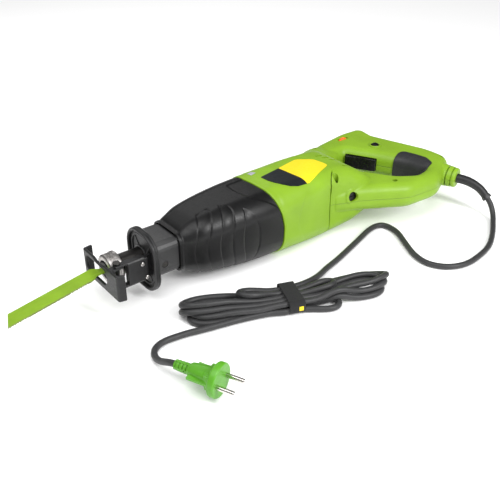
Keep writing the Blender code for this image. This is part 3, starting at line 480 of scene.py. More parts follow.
def turned(name, profile, start, direction, mat=None, radius=0.5, segments=64):
    """Turned solid or ring: profile is (mm along direction, mm out from the axis)."""
    bm = bmesh.new()
    points = rounded_profile(profile, radius) if radius else [Vector(p) for p in profile]
    turn = frame_to(direction)
    rings = []
    for along, out in points:
        ring = []
        for k in range(segments):
            t = 2 * math.pi * k / segments
            at = turn @ Vector((out * math.cos(t), out * math.sin(t), along))
            ring.append(bm.verts.new(mm(*(Vector(start) + at))))
        rings.append(ring)
    closed = (points[0] - points[-1]).length < 1e-6
    if closed:
        for vert in rings.pop():
            bm.verts.remove(vert)
    for a, b in zip(rings, rings[1:]):
        join_rings(bm, a, b)
    if closed:
        join_rings(bm, rings[-1], rings[0])
    else:
        cap_ends(bm, rings)
    return from_bm(name, bm, mat, 30, merge=5e-6)


def cylinder(name, radius, reach, start, direction, segments=64):
    """Plain sharp-edged cylinder, reach mm long."""
    profile = [(0, 0), (0, radius), (reach, radius), (reach, 0)]
    return turned(name, profile, start, direction, radius=0, segments=segments)


def hermite(xs, ys, x):
    """Smooth curve through (xs, ys) without overshoot, read at x."""
    xs, ys, x = (np.asarray(v, float) for v in (xs, ys, x))
    step = np.diff(xs)
    slope = np.diff(ys) / step
    inner = np.where(slope[:-1] * slope[1:] > 0,
                     2 * slope[:-1] * slope[1:] / (slope[:-1] + slope[1:] + 1e-12), 0)
    tangent = np.concatenate([[slope[0]], inner, [slope[-1]]])
    k = np.clip(np.searchsorted(xs, x) - 1, 0, len(xs) - 2)
    t = np.clip((x - xs[k]) / step[k], 0, 1)
    return ((2 * t ** 3 - 3 * t * t + 1) * ys[k] + (t ** 3 - 2 * t * t + t) * step[k] * tangent[k]
            + (3 * t * t - 2 * t ** 3) * ys[k + 1] + (t ** 3 - t * t) * step[k] * tangent[k + 1])


def section_at(sections, x):
    """(middle y, half y, half z, corner) of a loft at x."""
    table = np.array(sections, float)
    return [float(hermite(table[:, 0], table[:, k], x)) for k in range(1, 5)]


def around(section, u, grow=0.0):
    """Point (y, z) and outward normal at arc length u from the top's middle, towards -Y if negative."""
    mid, half_y, half_z, corner = section
    flat_y, flat_z = half_y - corner, half_z - corner
    side = 1.0 if u >= 0 else -1.0
    u, quarter = abs(u), corner * math.pi / 2
    if u <= flat_y:
        y, z, ny, nz = u, half_z, 0.0, 1.0
    elif u <= flat_y + quarter:
        t = (u - flat_y) / corner
        ny, nz = math.sin(t), math.cos(t)
        y, z = flat_y + corner * ny, flat_z + corner * nz
    elif u <= flat_y + quarter + 2 * flat_z:
        y, z, ny, nz = half_y, flat_z - (u - flat_y - quarter), 1.0, 0.0
    elif u <= flat_y + 2 * quarter + 2 * flat_z:
        t = (u - flat_y - quarter - 2 * flat_z) / corner
        ny, nz = math.cos(t), -math.sin(t)
        y, z = flat_y + corner * ny, -flat_z + corner * nz
    else:
        y, z, ny, nz = flat_y - (u - flat_y - 2 * quarter - 2 * flat_z), -half_z, 0.0, -1.0
    return mid + side * (y + grow * ny), z + grow * nz, side * ny, nz


def girth(section):
    """Length of the outline round a section."""
    _, half_y, half_z, corner = section
    return 4 * (half_y - corner) + 4 * (half_z - corner) + 2 * math.pi * corner


def skin_grid(sections, xs, count, lift, slide=None):
    """Rings of points (mm) round a loft; lift(x, u) is how far each point stands out.

    slide(x, u) moves a ring's points along the skin, so that a ring can follow a curved seam.
    """
    rings = []
    for x in xs:
        section = section_at(sections, x)
        ring = []
        for k in range(count):
            here, part = x, section
            u = girth(part) * (k / count - 0.5)
            if slide and abs(slide(x, u)) > 1e-3:
                here = x + slide(x, u)
                part = section_at(sections, here)
                u = girth(part) * (k / count - 0.5)
            y, z, ny, nz = around(part, u)
            out = lift(here, u)
            ring.append((here, y + ny * out, z + nz * out))
        rings.append(ring)
    return rings


def bridge(bm, rings):
    """Faces between rings of mm points; returns the rings of vertices."""
    verts = [[bm.verts.new(mm(*p)) for p in ring] for ring in rings]
    for a, b in zip(verts, verts[1:]):
        join_rings(bm, a, b)
    return verts


def smoothstep(value, low, high):
    t = min(1.0, max(0.0, (value - low) / (high - low)))
    return t * t * (3 - 2 * t)


# ---- cord ----
LEAD = [(500.3, -126.3, -17.7), (501.2, -130.5, -21.6), (500.4, -137.5, -30.0), (495.5, -144.3, CORD_Z + 3.0),
        (487.5, -150.5, CORD_Z), (461.4, -168.6, CORD_Z), (431.2, -184.8, CORD_Z), (401.5, -191.8, CORD_Z),
        (375.3, -193.1, CORD_Z), (352.4, -183.0, CORD_Z), (340.5, -164.1, CORD_Z), (342.9, -142.3, CORD_Z),
        (356.1, -114.4, CORD_Z), (368.8, -88.0, CORD_Z), (366.9, -65.4, CORD_Z), (349.1, -64.2, CORD_Z),
        (311.8, -75.8, CORD_Z), (263.6, -91.4, CORD_Z), (234.2, -99.5, CORD_Z + 1.0)]
TAIL = [(41.0, -99.5, CORD_Z), (30.0, -97.8, CORD_Z), (16.0, -95.7, CORD_Z), (2.5, -98.6, CORD_Z),
        (-5.0, -107.0, CORD_Z), (-7.2, -119.5, -38.5), (-6.4, -134.0, -31.0), (-5.1, -142.0, -27.0),
        (-2.4, -151.0, -25.9)]
HANK_MIDDLE = (162.0, -122.0)
HANK_ANGLE = math.atan2(-76.0, 200.0)
TIE_HALF = 9.0


def hank_point(s, t, h):
    """Place at s along the hank, t across it (away from the viewer's side) and h above the floor."""
    c, n = math.cos(HANK_ANGLE), math.sin(HANK_ANGLE)
    return (HANK_MIDDLE[0] + s * c - t * n, HANK_MIDDLE[1] + s * n + t * c, FLOOR_Z + h)


# each fold: (s of its straight end, near strand (t, h), far strand (t, h))
LEFT_FOLDS = [(-104.0, (-12.6, 3.7), (15.5, 3.7)), (-104.0, (-9.0, 10.4), (19.5, 10.4)),
              (-109.0, (-5.3, 17.0), (23.5, 3.9)), (-109.0, (-1.7, 23.6), (26.5, 10.6))]
RIGHT_FOLDS = [(97.0, (-17.3, 3.7), (16.5, 3.7)), (101.0, (-12.5, 10.6), (21.0, 10.4)),
               (107.0, (-5.0, 17.2), (24.5, 6.0))]
SMALL_FOLD = (42.0, (-30.0, 3.7), (-4.0, 3.7))
INNER_FOLD = (48.0, (-5.0, 18.5), (18.0, 15.0))
SHORT_FOLD = (-50.0, (-1.0, 23.0), (23.0, 17.0))
LOW_SLOTS, HIGH_SLOTS = 5.0, 11.2
SLOT_STEP = 6.6
LEAD_STEP, CORD_STEP, EVEN_STEP, FINE_STEP, TAIL_LENGTH = 3.0, 2.6, 2.4, 2.2, 200
SHARE_OF_GAP, LONGEST_SHIFT, SINK, SMOOTHING = 0.7, 0.7, 0.02, 0.25


def slot_low(k):
    return (-16.5 + SLOT_STEP * k, LOW_SLOTS)


def slot_high(k):
    return (-13.2 + SLOT_STEP * k, HIGH_SLOTS)


def fold(end, start, finish, outward):
    """Half loop from strand start to strand finish, round beyond s = end."""
    (t0, h0), (t1, h1) = start, finish
    radius = math.hypot(t1 - t0, h1 - h0) / 2
    points = []
    for k in range(9):
        a = math.pi * k / 8
        share = (1 - math.cos(a)) / 2
        points.append((end + outward * radius * math.sin(a), t0 + (t1 - t0) * share, h0 + (h1 - h0) * share))
    return points


def strand(slot, end, side, lift=()):
    """Points from the tie out to a fold's straight end, eased from its slot to its place there."""
    (t0, h0), (s1, (t1, h1)) = slot, end
    points = []
    start = side * TIE_HALF
    for share in (0.0, 0.25, 0.5, 0.75):
        ease = share * share * (3 - 2 * share)
        h = h0 + (h1 - h0) * ease
        for where, rise in lift:
            h += rise * math.exp(-((start + (s1 - start) * share - where) / 14.0) ** 2)
        points.append((start + (s1 - start) * share, t0 + (t1 - t0) * ease, h))
    return points


def hank_route():
    """The tied hank's centreline, from the lead's slot in the tie to the tail's."""
    route = [(40.0, 27.5, 12.0), (24.0, 17.5, 13.0)]
    folds = [("L", SHORT_FOLD, slot_high(4), slot_high(3), True),
             ("R", INNER_FOLD, slot_high(3), slot_high(2), True),
             ("L", LEFT_FOLDS[3], slot_high(2), slot_low(5), False),
             ("R", RIGHT_FOLDS[2], slot_low(5), slot_high(1), True),
             ("L", LEFT_FOLDS[2], slot_high(1), slot_low(4), False),
             ("R", RIGHT_FOLDS[1], slot_low(4), slot_high(0), True),
             ("L", LEFT_FOLDS[1], slot_high(0), slot_low(3), False),
             ("R", RIGHT_FOLDS[0], slot_low(3), slot_low(1), True),
             ("L", LEFT_FOLDS[0], slot_low(1), slot_low(2), False),
             ("R", SMALL_FOLD, slot_low(2), slot_low(0), True)]
    for side, (end, near, far), slot_in, slot_out, far_first in folds:
        out = -1.0 if side == "L" else 1.0
        first, last = (far, near) if far_first else (near, far)
        rise_out = ()
        if (side, slot_out) == ("R", slot_low(1)):
            rise_out = ((52.0, 6.5),)
        if side == "R" and slot_out in (slot_high(0), slot_high(1)):
            rise_out = ((52.0, 3.0),)
        route += strand(slot_in, (end, first), out)
        route += fold(end, first, last, out)
        route += strand(slot_out, (end, last), out, rise_out)[::-1]
    route += [(-TIE_HALF, -16.5, LOW_SLOTS), (-34.0, -15.0, 4.0), (-58.0, -15.5, 3.7), (-85.0, -18.5, 3.7),
              (-110.0, -21.5, 3.7)]
    return [hank_point(*p) for p in route]


def catmull(points, step):
    """Points about every step along a smooth curve through points."""
    pts = np.asarray(points, float)
    keep = np.concatenate([[True], np.linalg.norm(np.diff(pts, axis=0), axis=1) > 1e-3])
    pts = pts[keep]
    pts = np.vstack([2 * pts[0] - pts[1], pts, 2 * pts[-1] - pts[-2]])
    fine = []
    for a, b, c, d in zip(pts, pts[1:], pts[2:], pts[3:]):
        # centripetal knots keep uneven spacing from making loops
        t1 = np.sqrt(np.linalg.norm(b - a)) + 1e-6
        t2 = t1 + np.sqrt(np.linalg.norm(c - b)) + 1e-6
        t3 = t2 + np.sqrt(np.linalg.norm(d - c)) + 1e-6
        for t in np.linspace(t1, t2, 16, endpoint=False):
            ab = a + (b - a) * t / t1
            bc = b + (c - b) * (t - t1) / (t2 - t1)
            cd = c + (d - c) * (t - t2) / (t3 - t2)
            abc = ab + (bc - ab) * t / t2
            bcd = bc + (cd - bc) * (t - t1) / (t3 - t1)
            fine.append(abc + (bcd - abc) * (t - t1) / (t2 - t1))
    fine.append(pts[-2])
    return resample(np.array(fine), step)


def resample(line, step):
    run = np.concatenate([[0], np.cumsum(np.linalg.norm(np.diff(line, axis=0), axis=1))])
    at = np.linspace(0, run[-1], max(2, int(round(run[-1] / step)) + 1))
    return np.stack([np.interp(at, run, line[:, k]) for k in range(3)], axis=1)


def smoothed(values, rounds):
    """Rows evened out along the line, with both ends kept."""
    values = values.copy()
    for _ in range(rounds):
        values[1:-1] = (values[:-2] + 2 * values[1:-1] + values[2:]) / 4
    return values


def settle(line, rounds, pinned):
    """Push turns that lie in each other apart, smooth the line, and keep it on the floor."""
    step = float(np.linalg.norm(np.diff(line, axis=0), axis=1).mean())
    apart = int(round(math.pi * 2 * CORD_R / step)) + 1
    index = np.arange(len(line))
    far = np.abs(index[:, None] - index[None, :]) > apart
    free = smoothed((~pinned).astype(float)[:, None], 6)
    for _ in range(rounds):
        gap = line[:, None, :] - line[None, :, :]
        away = np.linalg.norm(gap, axis=2)
        near = far & (away < 2 * CORD_R)
        push = np.where(near, (2 * CORD_R - away) / np.maximum(away, 0.5), 0.0)
        shift = (gap * push[:, :, None]).sum(1) / np.maximum(near.sum(1), 1)[:, None] * SHARE_OF_GAP
        shift = smoothed(shift, 10)
        shift[:, 2] -= SINK
        line = line + np.clip(shift, -LONGEST_SHIFT, LONGEST_SHIFT) * free
        line[:, 2] = np.maximum(line[:, 2], CORD_Z)
        line = line + (smoothed(line, 1) - line) * SMOOTHING * free
    return line


def cord_line():
    """Centreline of the cord in mm: the lead, the settled hank and the tail."""
    lead = catmull(LEAD + hank_route()[:2], LEAD_STEP)
    whole = catmull(LEAD + hank_route() + TAIL, CORD_STEP)
    start = int(len(lead) * LEAD_STEP / CORD_STEP * 0.9)
    end = len(whole) - int(TAIL_LENGTH / CORD_STEP)
    hank = whole[start:end]
    pinned = np.zeros(len(hank), bool)
    pinned[:3] = pinned[-3:] = True
    middle = np.array(hank_point(0, 0, 8))
    along = np.array(hank_point(1, 0, 8)) - middle
    pinned |= np.abs((hank - middle) @ along) < TIE_HALF + 2
    whole[start:end] = settle(hank, 160, pinned)
    whole = smoothed(resample(whole, EVEN_STEP), 12)
    whole[:, 2] = np.maximum(whole[:, 2], CORD_Z - 0.05)
    return resample(whole, FINE_STEP)


def add_cord():
    line = cord_line()
    curve = bpy.data.curves.new("mains_cord", "CURVE")
    curve.dimensions = "3D"
    curve.bevel_depth = CORD_R * MM
    curve.bevel_resolution = 4
    curve.use_fill_caps = True
    spline = curve.splines.new("POLY")
    spline.points.add(len(line) - 1)
    spline.points.foreach_set("co", np.hstack([metres(line), np.ones((len(line), 1))]).ravel())
    spline.use_smooth = True
    curve.materials.append(MAT["sheath"])
    length = float(np.linalg.norm(np.diff(line, axis=0), axis=1).sum()) * MM
    cord = show("mains_cord", curve)
    return piece(cord, BODY, ("cord_lead", "cord_tail", "cord_hank")), length


# ---- CAD nodes that keep their shape ----
# (material, mm of softened edge, names of the nodes)
KEPT_NODES = [
    ("dark_steel", 0.0, "crank_gear handle_screw_1 handle_screw_2 handle_screw_3"),
    ("dark_steel", 0.0, "handle_screw_4 handle_screw_5"),
    ("dark_steel", 0.3, "shoe_hinge_pin shoe_lock_bolt stator_core"),
    ("dark_steel", 0.4, "blade_clamp_body"),
    ("dark_steel", 0.5, "plunger"),
    ("steel", 0.0, "drive_pinion"),
    ("steel", 0.3, "support_rivet_1 support_rivet_2 crank_axle armature_shaft"),
    ("steel", 0.3, "crank_bearing front_bearing rear_bearing"),
    ("bronze", 0.4, "front_bush rear_bush"),
    ("cast_black", 0.0, "gearbox_housing"),
    ("aluminium", 0.4, "bearing_plate"),
    ("copper", 0.0, "stator_coil_front stator_coil_rear"),
    ("copper", 0.3, "commutator"),
    ("copper", 0.5, "armature_core"),
    ("brass", 0.2, "brush_holder_a brush_holder_b"),
    ("black", 0.2, "carbon_brush_a carbon_brush_b"),
    ("black", 0.3, "cooling_fan brush_cap_a brush_cap_b"),
    ("black", 0.4, "switch_body"),
    ("sheath", 0.0, "inner_cable"),
]


def finish_kept_nodes():
    """Give the CAD nodes that keep their shape their final materials, and softened edges."""
    for mat, bevel, names in KEPT_NODES:
        for name in names.split():
            obj = frame["nodes"][name]
            for slot in obj.material_slots:
                slot.material = MAT[mat]
            if bevel:
                bevelled(obj, bevel)


# ---- blade and clamp ----
BLADE_CANT = math.tan(math.radians(13.0))
BLADE_BACK, BLADE_WIDTH, BLADE_ROOT, BLADE_TIP = 12.6, 20.0, -7.0, -119.0
TOOTH_PITCH, TOOTH_DEPTH, TOOTH_SET = 2.8, 1.1, 0.16


def blade_edge(x, across):
    return x, BLADE_BACK + (x - BLADE_ROOT) * BLADE_CANT - across


def blade_paint():
    """Sprayed paint over steel, worn to bare metal along the teeth."""
    paint = Paint("blade_paint", 0.5, Specular_IOR_Level=0.25)
    x = paint.maths("ADD", paint.axis(0), (CENTRE_X - BLADE_ROOT) * MM)
    y = paint.maths("ADD", paint.axis(1), (CENTRE_Y - BLADE_BACK) * MM)
    across = paint.maths("SUBTRACT", paint.maths("MULTIPLY", x, BLADE_CANT), y)
    ragged = paint.maths("ADD", across, paint.maths("MULTIPLY", paint.noise(500.0, 3.0), 0.0012))
    bare = paint.span(ragged, (BLADE_WIDTH - 0.9) * MM, (BLADE_WIDTH + 0.1) * MM)
    drift = paint.span(paint.noise(40.0, 3.0), 0.35, 0.65)
    body = paint.mix(drift, shade(BLADE_GREEN, 0.92), shade(BLADE_GREEN, 1.06))
    scratches = paint.span(paint.noise(260.0, 2.0, 0.5, stretch=(0.04, 1.0, 1.0)), 0.66, 0.72, 0.0, 0.35)
    body = paint.mix(scratches, body, shade(BLADE_GREEN, 1.5))
    paint.colour(paint.mix(bare, body, (0.20, 0.24, 0.08)))
    paint.roughness(paint.span(paint.noise(220.0, 4.0), 0.3, 0.7, 0.48, 0.60))
    paint.bump(paint.noise(900.0, 2.0), 0.02)
    return paint.mat


def add_blade():
    """Sharp-toothed blade; the teeth lean alternately to each side."""
    bm = bmesh.new()
    count = int((BLADE_ROOT - 7 - (BLADE_TIP + 2)) / TOOTH_PITCH)
    outline, lean = [], []
    for k in range(count):
        x = BLADE_TIP + 2 + k * TOOTH_PITCH
        outline += [blade_edge(x, BLADE_WIDTH), blade_edge(x + TOOTH_PITCH * 0.72, BLADE_WIDTH - TOOTH_DEPTH)]
        lean += [TOOTH_SET * (-1) ** k if k else 0.0, 0.0]
    rest = [blade_edge(BLADE_ROOT - 5, BLADE_WIDTH - 1.0), blade_edge(BLADE_ROOT - 1, BLADE_WIDTH - 4.0),
            (0.5, ROD_Y - 5.0), (13.9, ROD_Y - 5.0), (13.9, ROD_Y + 5.0), (0.5, ROD_Y + 5.0),
            blade_edge(BLADE_ROOT + 1.0, 1.6), blade_edge(BLADE_ROOT, 0.7), blade_edge(BLADE_ROOT - 2.0, 0.0),
            blade_edge(BLADE_TIP + 11.0, 0.0), blade_edge(BLADE_TIP + 10.2, 0.4)]
    outline, lean = outline + rest, lean + [0.0] * len(rest)
    low, high = ([bm.verts.new(mm(p[0], p[1], z + s)) for p, s in zip(outline, lean)] for z in (-0.58, 0.58))
    join_rings(bm, low, high)
    for face in (bm.faces.new(low), bm.faces.new(high)):
        bmesh.ops.triangulate(bm, faces=[face])
    obj = from_bm("saw_blade", bm, blade_paint(), 20)
    piece(obj, "plunger", ("blade",))


def add_collar():
    """Turned quick-release collar: a stepped ring with grip grooves and a thumb lever."""
    profile = [(0, 11.0), (0, 15.2), (1.2, 16.5), (3.6, 16.8)]
    for k in range(4):
        at = 3.6 + 1.6 * k
        profile += [(at, 16.8), (at + 0.4, 16.3), (at + 0.8, 16.3), (at + 1.2, 16.8)]
    profile += [(10.4, 16.8), (10.9, 17.5), (13.9, 17.5), (15.1, 16.3), (15.1, 11.0), (0, 11.0)]
    collar = turned("release_collar", profile, (4.6, ROD_Y, 0), (1, 0, 0), MAT["steel"], 0.25, 96)
    lever = box("collar_thumb_lever", (6.7, ROD_Y + 14.1, -3.9), (17.3, ROD_Y + 18.9, 3.9), bevel=1.2)
    combine(collar, [lever], "UNION", 40)
    bevelled(collar, 0.2, 2)
    piece(collar, "clamp_collar", ("blade_clamp_collar",))


# ---- shoe, its support and the nose flange ----
def add_shoe():
    """Cast parts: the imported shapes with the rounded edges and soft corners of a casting."""
    for name, body, voxel in (("shoe_plate", "shoe", 0.4), ("shoe_support", "shoe_carrier", 0.5)):
        cast = show("cast_" + name, frame["nodes"][name].data.copy())
        cast.matrix_world = frame["nodes"][name].matrix_world.copy()
        bpy.context.view_layer.update()
        cast.data.materials.clear()
        cast.data.materials.append(MAT["cast_black"])
        remesh(cast, voxel, 5)
        piece(cast, body, (name,))


FLANGE = (-4.0, 30.0, 36.0, 25.0)


def inset_ring(section, x, inset, count=120):
    """One ring of mm points: the section's outline drawn in by inset, in the plane x."""
    mid, half_y, half_z, corner = section
    drawn = (mid, half_y - inset, half_z - inset, max(corner - inset, 1.0))
    total = girth(drawn)
    return [(x, *around(drawn, total * (k / count - 0.5))[:2]) for k in range(count)]


def add_flange():
    """Nose flange: a thick rounded rim, a recessed face with an inner ring, and ribs to its hub."""
    steps = [(52.8, 3.0), (52.8, 1.6), (52.3, 0.6), (51.3, 0.05), (50.4, 0.0), (49.9, 0.3), (49.3, 0.3),
             (48.7, 0.0), (47.3, 0.0), (46.1, 0.3), (45.4, 1.0), (45.2, 2.0), (45.3, 2.9), (45.9, 3.7),
             (46.8, 4.1), (48.6, 4.3), (48.6, 6.6), (47.9, 6.9), (47.7, 8.0), (47.9, 8.6), (49.2, 8.9),
             (49.4, 20.0)]
    bm = bmesh.new()
    cap_ends(bm, bridge(bm, [inset_ring(FLANGE, x, inset) for x, inset in steps]))
    flange = from_bm("flange_casting", bm, MAT["cast_black"], 45)
    ribs = []
    for number, angle in enumerate((35, 145, 215, 325)):
        rib = box("flange_rib_%d" % number, (48.6, 12.0, -0.8), (50.6, 28.0, 0.8))
        turn = Matrix.Rotation(math.radians(angle - 90), 4, "X")
        rib.data.transform(Matrix.Translation(mm(0, FLANGE[0], 0)) @ turn @ Matrix.Translation(-mm(0, 0, 0)))
        ribs.append(rib)
    hub = turned("flange_hub", [(0, 0), (0, 14.0), (3.0, 14.6), (3.0, 0)], (48.2, ROD_Y, 0), (1, 0, 0))
    combine(flange, ribs + [hub], "UNION")
    bore = cylinder("flange_bore", ROD_R + 0.6, 30, (40, ROD_Y, 0), (1, 0, 0))
    slot = box("flange_slot", (40, -20.2, -14.6), (60, -16.0, 14.6))
    combine(flange, [bore, slot], "DIFFERENCE", 40)
    piece(flange, BODY, ("nose_flange",))


# ---- rubber boot ----
BOOT = [(84.0, 3.0, 27.4, 23.4, 10.0), (88.0, 2.6, 27.8, 24.2, 11.5), (96.0, 2.0, 31.0, 28.6, 17.0),
        (110.0, 1.2, 35.6, 34.8, 21.0), (130.0, 0.6, 39.5, 38.0, 23.0), (150.0, 0.3, 42.0, 40.5, 25.0),
        (175.0, 0.0, 44.2, 42.2, 26.0), (196.0, 0.0, 45.4, 43.0, 27.0), (SEAM_1 - 1.6, 0.0, 45.6, 43.2, 27.0)]
# each groove round the teeth side: (x, u) at its upper end, x at the side's middle
BOOT_RIBS = [(114.0, -13.7, 99.5), (130.2, -17.0, 114.5), (142.0, -19.1, 129.0), (151.8, -31.4, 145.0),
             (164.4, -37.0, 159.0), (178.6, -52.5, 181.0)]
RIB_TOP = [(95.0, -26.0), (104.0, -16.0), (114.0, -12.7), (123.9, -10.3), (134.3, -11.2), (145.5, -17.6),
           (157.3, -27.9), (169.7, -39.2), (175.1, -47.8), (181.0, -63.1), (186.0, -66.0)]
# (u, x) of the curved seam between the boot and the motor housing
SEAM_CURVE = [(-160.0, 207.0), (-130.0, 211.0), (-102.5, 215.7), (-92.8, 216.5), (-81.9, 217.0),
              (-65.2, 213.8), (-53.7, 210.3), (-42.9, 207.6), (-34.4, 205.8), (-23.0, 204.3), (0.0, 204.0),
              (21.0, 202.0), (50.0, 202.0), (78.0, 206.0), (110.0, 207.0), (160.0, 207.0)]
# (u, x) of the curved seam between the motor housing and the handle
REAR_SEAM = [(-160.0, 297.0), (-100.0, 296.0), (-75.0, 295.0), (-45.0, 295.0), (-36.0, 299.0), (-28.0, 308.0),
             (-19.0, 311.8), (-8.0, 311.8), (4.0, 308.5), (14.0, 302.5), (22.0, 297.5), (40.0, 297.0),
             (160.0, 297.0)]
RECESS_DEPTH, GROOVE_DEPTH, BAND_BULGE, TONGUE_DEPTH = 0.95, 0.25, 0.85, 0.8
LIP_X, LIP_GROOVE_X = 86.2, 89.2
# (x, u) of the sunk tongue's lower edge
TONGUE = [(176.0, -1.0), (177.5, -16.2), (182.3, -27.0), (193.8, -36.5), (202.6, -44.0), (212.0, -53.5)]


def folded(u, total):
    """Arc length mirrored about the teeth side's middle, so that both halves carry the same shape."""
    middle = -total / 4
    return middle + abs(u - middle)


def fine_curve(points, rounds):
    """x of a seam at each of SEAM_FINE_U, drawn smoothly through its points and evened out."""
    return smoothed(hermite(*zip(*points), SEAM_FINE_U)[:, None], rounds)[:, 0]


SEAM_FINE_U = np.linspace(-160.0, 160.0, 321)
SEAM_FINE_X, REAR_FINE_X = fine_curve(SEAM_CURVE, 12), fine_curve(REAR_SEAM, 10)


def seam_x(u):
    """x of the seam between the boot and the motor housing."""
    return float(np.interp(u, SEAM_FINE_U, SEAM_FINE_X))


def rear_x(u):
    """x of the seam between the motor housing and the handle."""
    return float(np.interp(u, SEAM_FINE_U, REAR_FINE_X))


def boot_slide(x, u):
    return (seam_x(u) - SEAM_1) * smoothstep(x, 184.0, 211.0)


def housing_slide(x, u):
    front = (seam_x(u) - SEAM_1) * (1 - smoothstep(x, 214.5, 240.0))
    return front + (rear_x(u) - SEAM_2) * smoothstep(x, 262.0, SEAM_2 - 2.0)


def dome_slide(x, u):
    return (rear_x(u) - SEAM_2) * (1 - smoothstep(x, SEAM_2 + 1.0, SEAM_2 + 40.0))


def boot_zones(x, u, total):
    """(how far inside a glossy recess, how near a groove, how near its middle) at one place, 0 to 1."""
    if u > 0 and u < total / 2 - 2:
        return 0.0, 0.0, 0.0
    v = folded(u, total)
    top = float(hermite(*zip(*RIB_TOP), x)) if RIB_TOP[0][0] <= x <= RIB_TOP[-1][0] else -total / 4
    inside = smoothstep(top - v, -0.4, 1.6)
    lines = []
    for x_top, u_top, x_mid in BOOT_RIBS:
        t = min(1.0, max(0.0, (u_top - v) / (u_top + total / 4)))
        lines.append(x_top + (x_mid - x_top) * math.sin(t * math.pi / 2))
    recess = groove = bulge = 0.0
    for number, (a, b) in enumerate(zip(lines, lines[1:])):
        if number % 2 == 0:
            recess = max(recess, smoothstep(x, a - 0.7, a + 0.9) * (1 - smoothstep(x, b - 0.9, b + 0.7)))
            bulge = max(bulge, 1 - ((x - (a + b) / 2) / max(2.0, (b - a) / 2)) ** 2)
    for line in lines:
        groove = max(groove, math.exp(-((x - line) / 0.8) ** 2))
    return recess * inside, groove * inside, bulge * inside


def boot_lift(x, u):
    """How far the boot stands out: bands, grooves, the front lip and the sunk tongue."""
    recess, groove, bulge = boot_zones(x, u, girth(section_at(BOOT, x)))
    out = -RECESS_DEPTH * recess - GROOVE_DEPTH * groove + BAND_BULGE * bulge
    out += 0.25 * math.exp(-((x - LIP_X) / 1.2) ** 2) - 0.5 * math.exp(-((x - LIP_GROOVE_X) / 1.4) ** 2)
    if x > 172:
        edge = float(hermite(*zip(*TONGUE), max(x, TONGUE[0][0])))
        near = smoothstep(u, edge - 0.8, edge + 0.8) * (1 - smoothstep(u, 15.0, 17.0))
        bow = 0.03 * (u - 2) ** 2 * 0.2
        front = smoothstep(x, 175.0 + bow, 177.5 + bow)
        out -= TONGUE_DEPTH * near * front
    return out


def face_x(face):
    """Mean x of a face in mm."""
    return sum(v.co.x for v in face.verts) / len(face.verts) * 1000 + CENTRE_X


def add_boot():
    """Boot with fine grooves, glossy recessed bands, a rolled front lip and a sunk upper tongue."""
    xs = [84.0, 84.4] + list(np.arange(85.0, BOOT[-1][0] - 0.6, 0.7)) + [BOOT[-1][0] - 0.4, BOOT[-1][0]]
    count = 300
    rings = skin_grid(BOOT, xs, count, boot_lift, boot_slide)
    bm = bmesh.new()
    lip = section_at(BOOT, BOOT[0][0])
    edges = [inset_ring(lip, 84.6, 2.0, count), inset_ring(lip, 84.0, 0.9, count)]
    tail = [skin_grid(BOOT, [x], count, lambda *at, drawn=inset: -drawn, boot_slide)[0]
            for x, inset in ((211.4, 1.0), (211.3, 3.0), (196.0, 3.2))]
    tail += [inset_ring(section_at(BOOT, x), x, 3.2, count) for x in (110.0, 96.0)]
    verts = bridge(bm, edges + rings + tail)
    bm.faces.ensure_lookup_table()
    for number, face in enumerate(bm.faces):
        row, column = divmod(number, count)
        if len(edges) <= row < len(edges) + len(xs) - 1:
            total = girth(section_at(BOOT, xs[row - len(edges)]))
            recess = boot_zones(face_x(face), total * ((column + 0.5) / count - 0.5), total)[0]
            face.material_index = 1 if recess > 0.8 else 0
    join_rings(bm, verts[-1], verts[0])
    boot = from_bm("boot_skin", bm, MAT["boot"], 50)
    boot.data.materials.append(MAT["boot_gloss"])
    piece(boot, BODY, ("rubber_boot",))


def add_gap_ring():
    """Dark ring in the joint between boot and housing, along the curved seam."""
    bm = bmesh.new()
    rings = []
    for x, inset in ((SEAM_1 - 1.4, 4.0), (SEAM_1 - 1.4, 1.2), (SEAM_1 - 0.2, 1.2), (SEAM_1 - 0.2, 4.0),
                     (SEAM_1 - 1.4, 4.0)):
        rings += skin_grid(BOOT, [x], 160, lambda *at, drawn=inset: -drawn, lambda x, u: seam_x(u) - SEAM_1)
    bridge(bm, rings)
    piece(from_bm("seam_gap", bm, MAT["black"], 30), BODY, ("gap_ring",))


# ---- motor housing and its badge ----
HOUSING = [(SEAM_1, 0.0, 46.4, 43.6, 27.0), (217.0, 0.0, 46.8, 43.9, 27.0), (264.0, 0.0, 45.0, 43.9, 22.0),
           (SEAM_2 - 0.6, 0.0, 41.2, 43.3, 16.0), (312.0, 0.5, 43.7, 43.0, 20.0)]
PANEL_X, PANEL_DEPTH = 237.0, 0.55


def housing_lift(x, u):
    """Sunk side panel with a soft crease at its front, and a rounded front edge."""
    total = girth(section_at(HOUSING, x))
    out = 0.0
    if -total / 2 + 4 < u < -4:
        v = folded(u, total)
        front = PANEL_X + 0.012 * (v + total / 4) ** 2
        side = smoothstep(-v, 38.0, 47.0)
        out -= PANEL_DEPTH * smoothstep(x, front, front + 5.0) * side
    out -= 0.6 * (1 - smoothstep(x - seam_x(u), 0.0, 0.9)) + 0.35 * smoothstep(x - rear_x(u), -1.3, -0.6)
    return out


def add_housing():
    """Motor housing: a moulded tube with its side panel, closed back on itself by an inner wall."""
    xs = [SEAM_1, 213.3, 213.7, 214.2] + list(np.arange(215.0, SEAM_2 - 1.8, 1.2))
    xs += [SEAM_2 - 1.3, SEAM_2 - 0.9, SEAM_2 - 0.6]
    count = 240
    rings = skin_grid(HOUSING, xs, count, housing_lift, housing_slide)
    inside = [SEAM_2 - 0.6, 280.0, 264.0, 240.0, SEAM_1]
    inner = skin_grid(HOUSING, inside, count, lambda x, u: -WALL, housing_slide)
    bm = bmesh.new()
    verts = bridge(bm, rings + inner)
    join_rings(bm, verts[-1], verts[0])
    piece(from_bm("housing_moulding", bm, MAT["housing"], 40), BODY, ("motor_housing",))


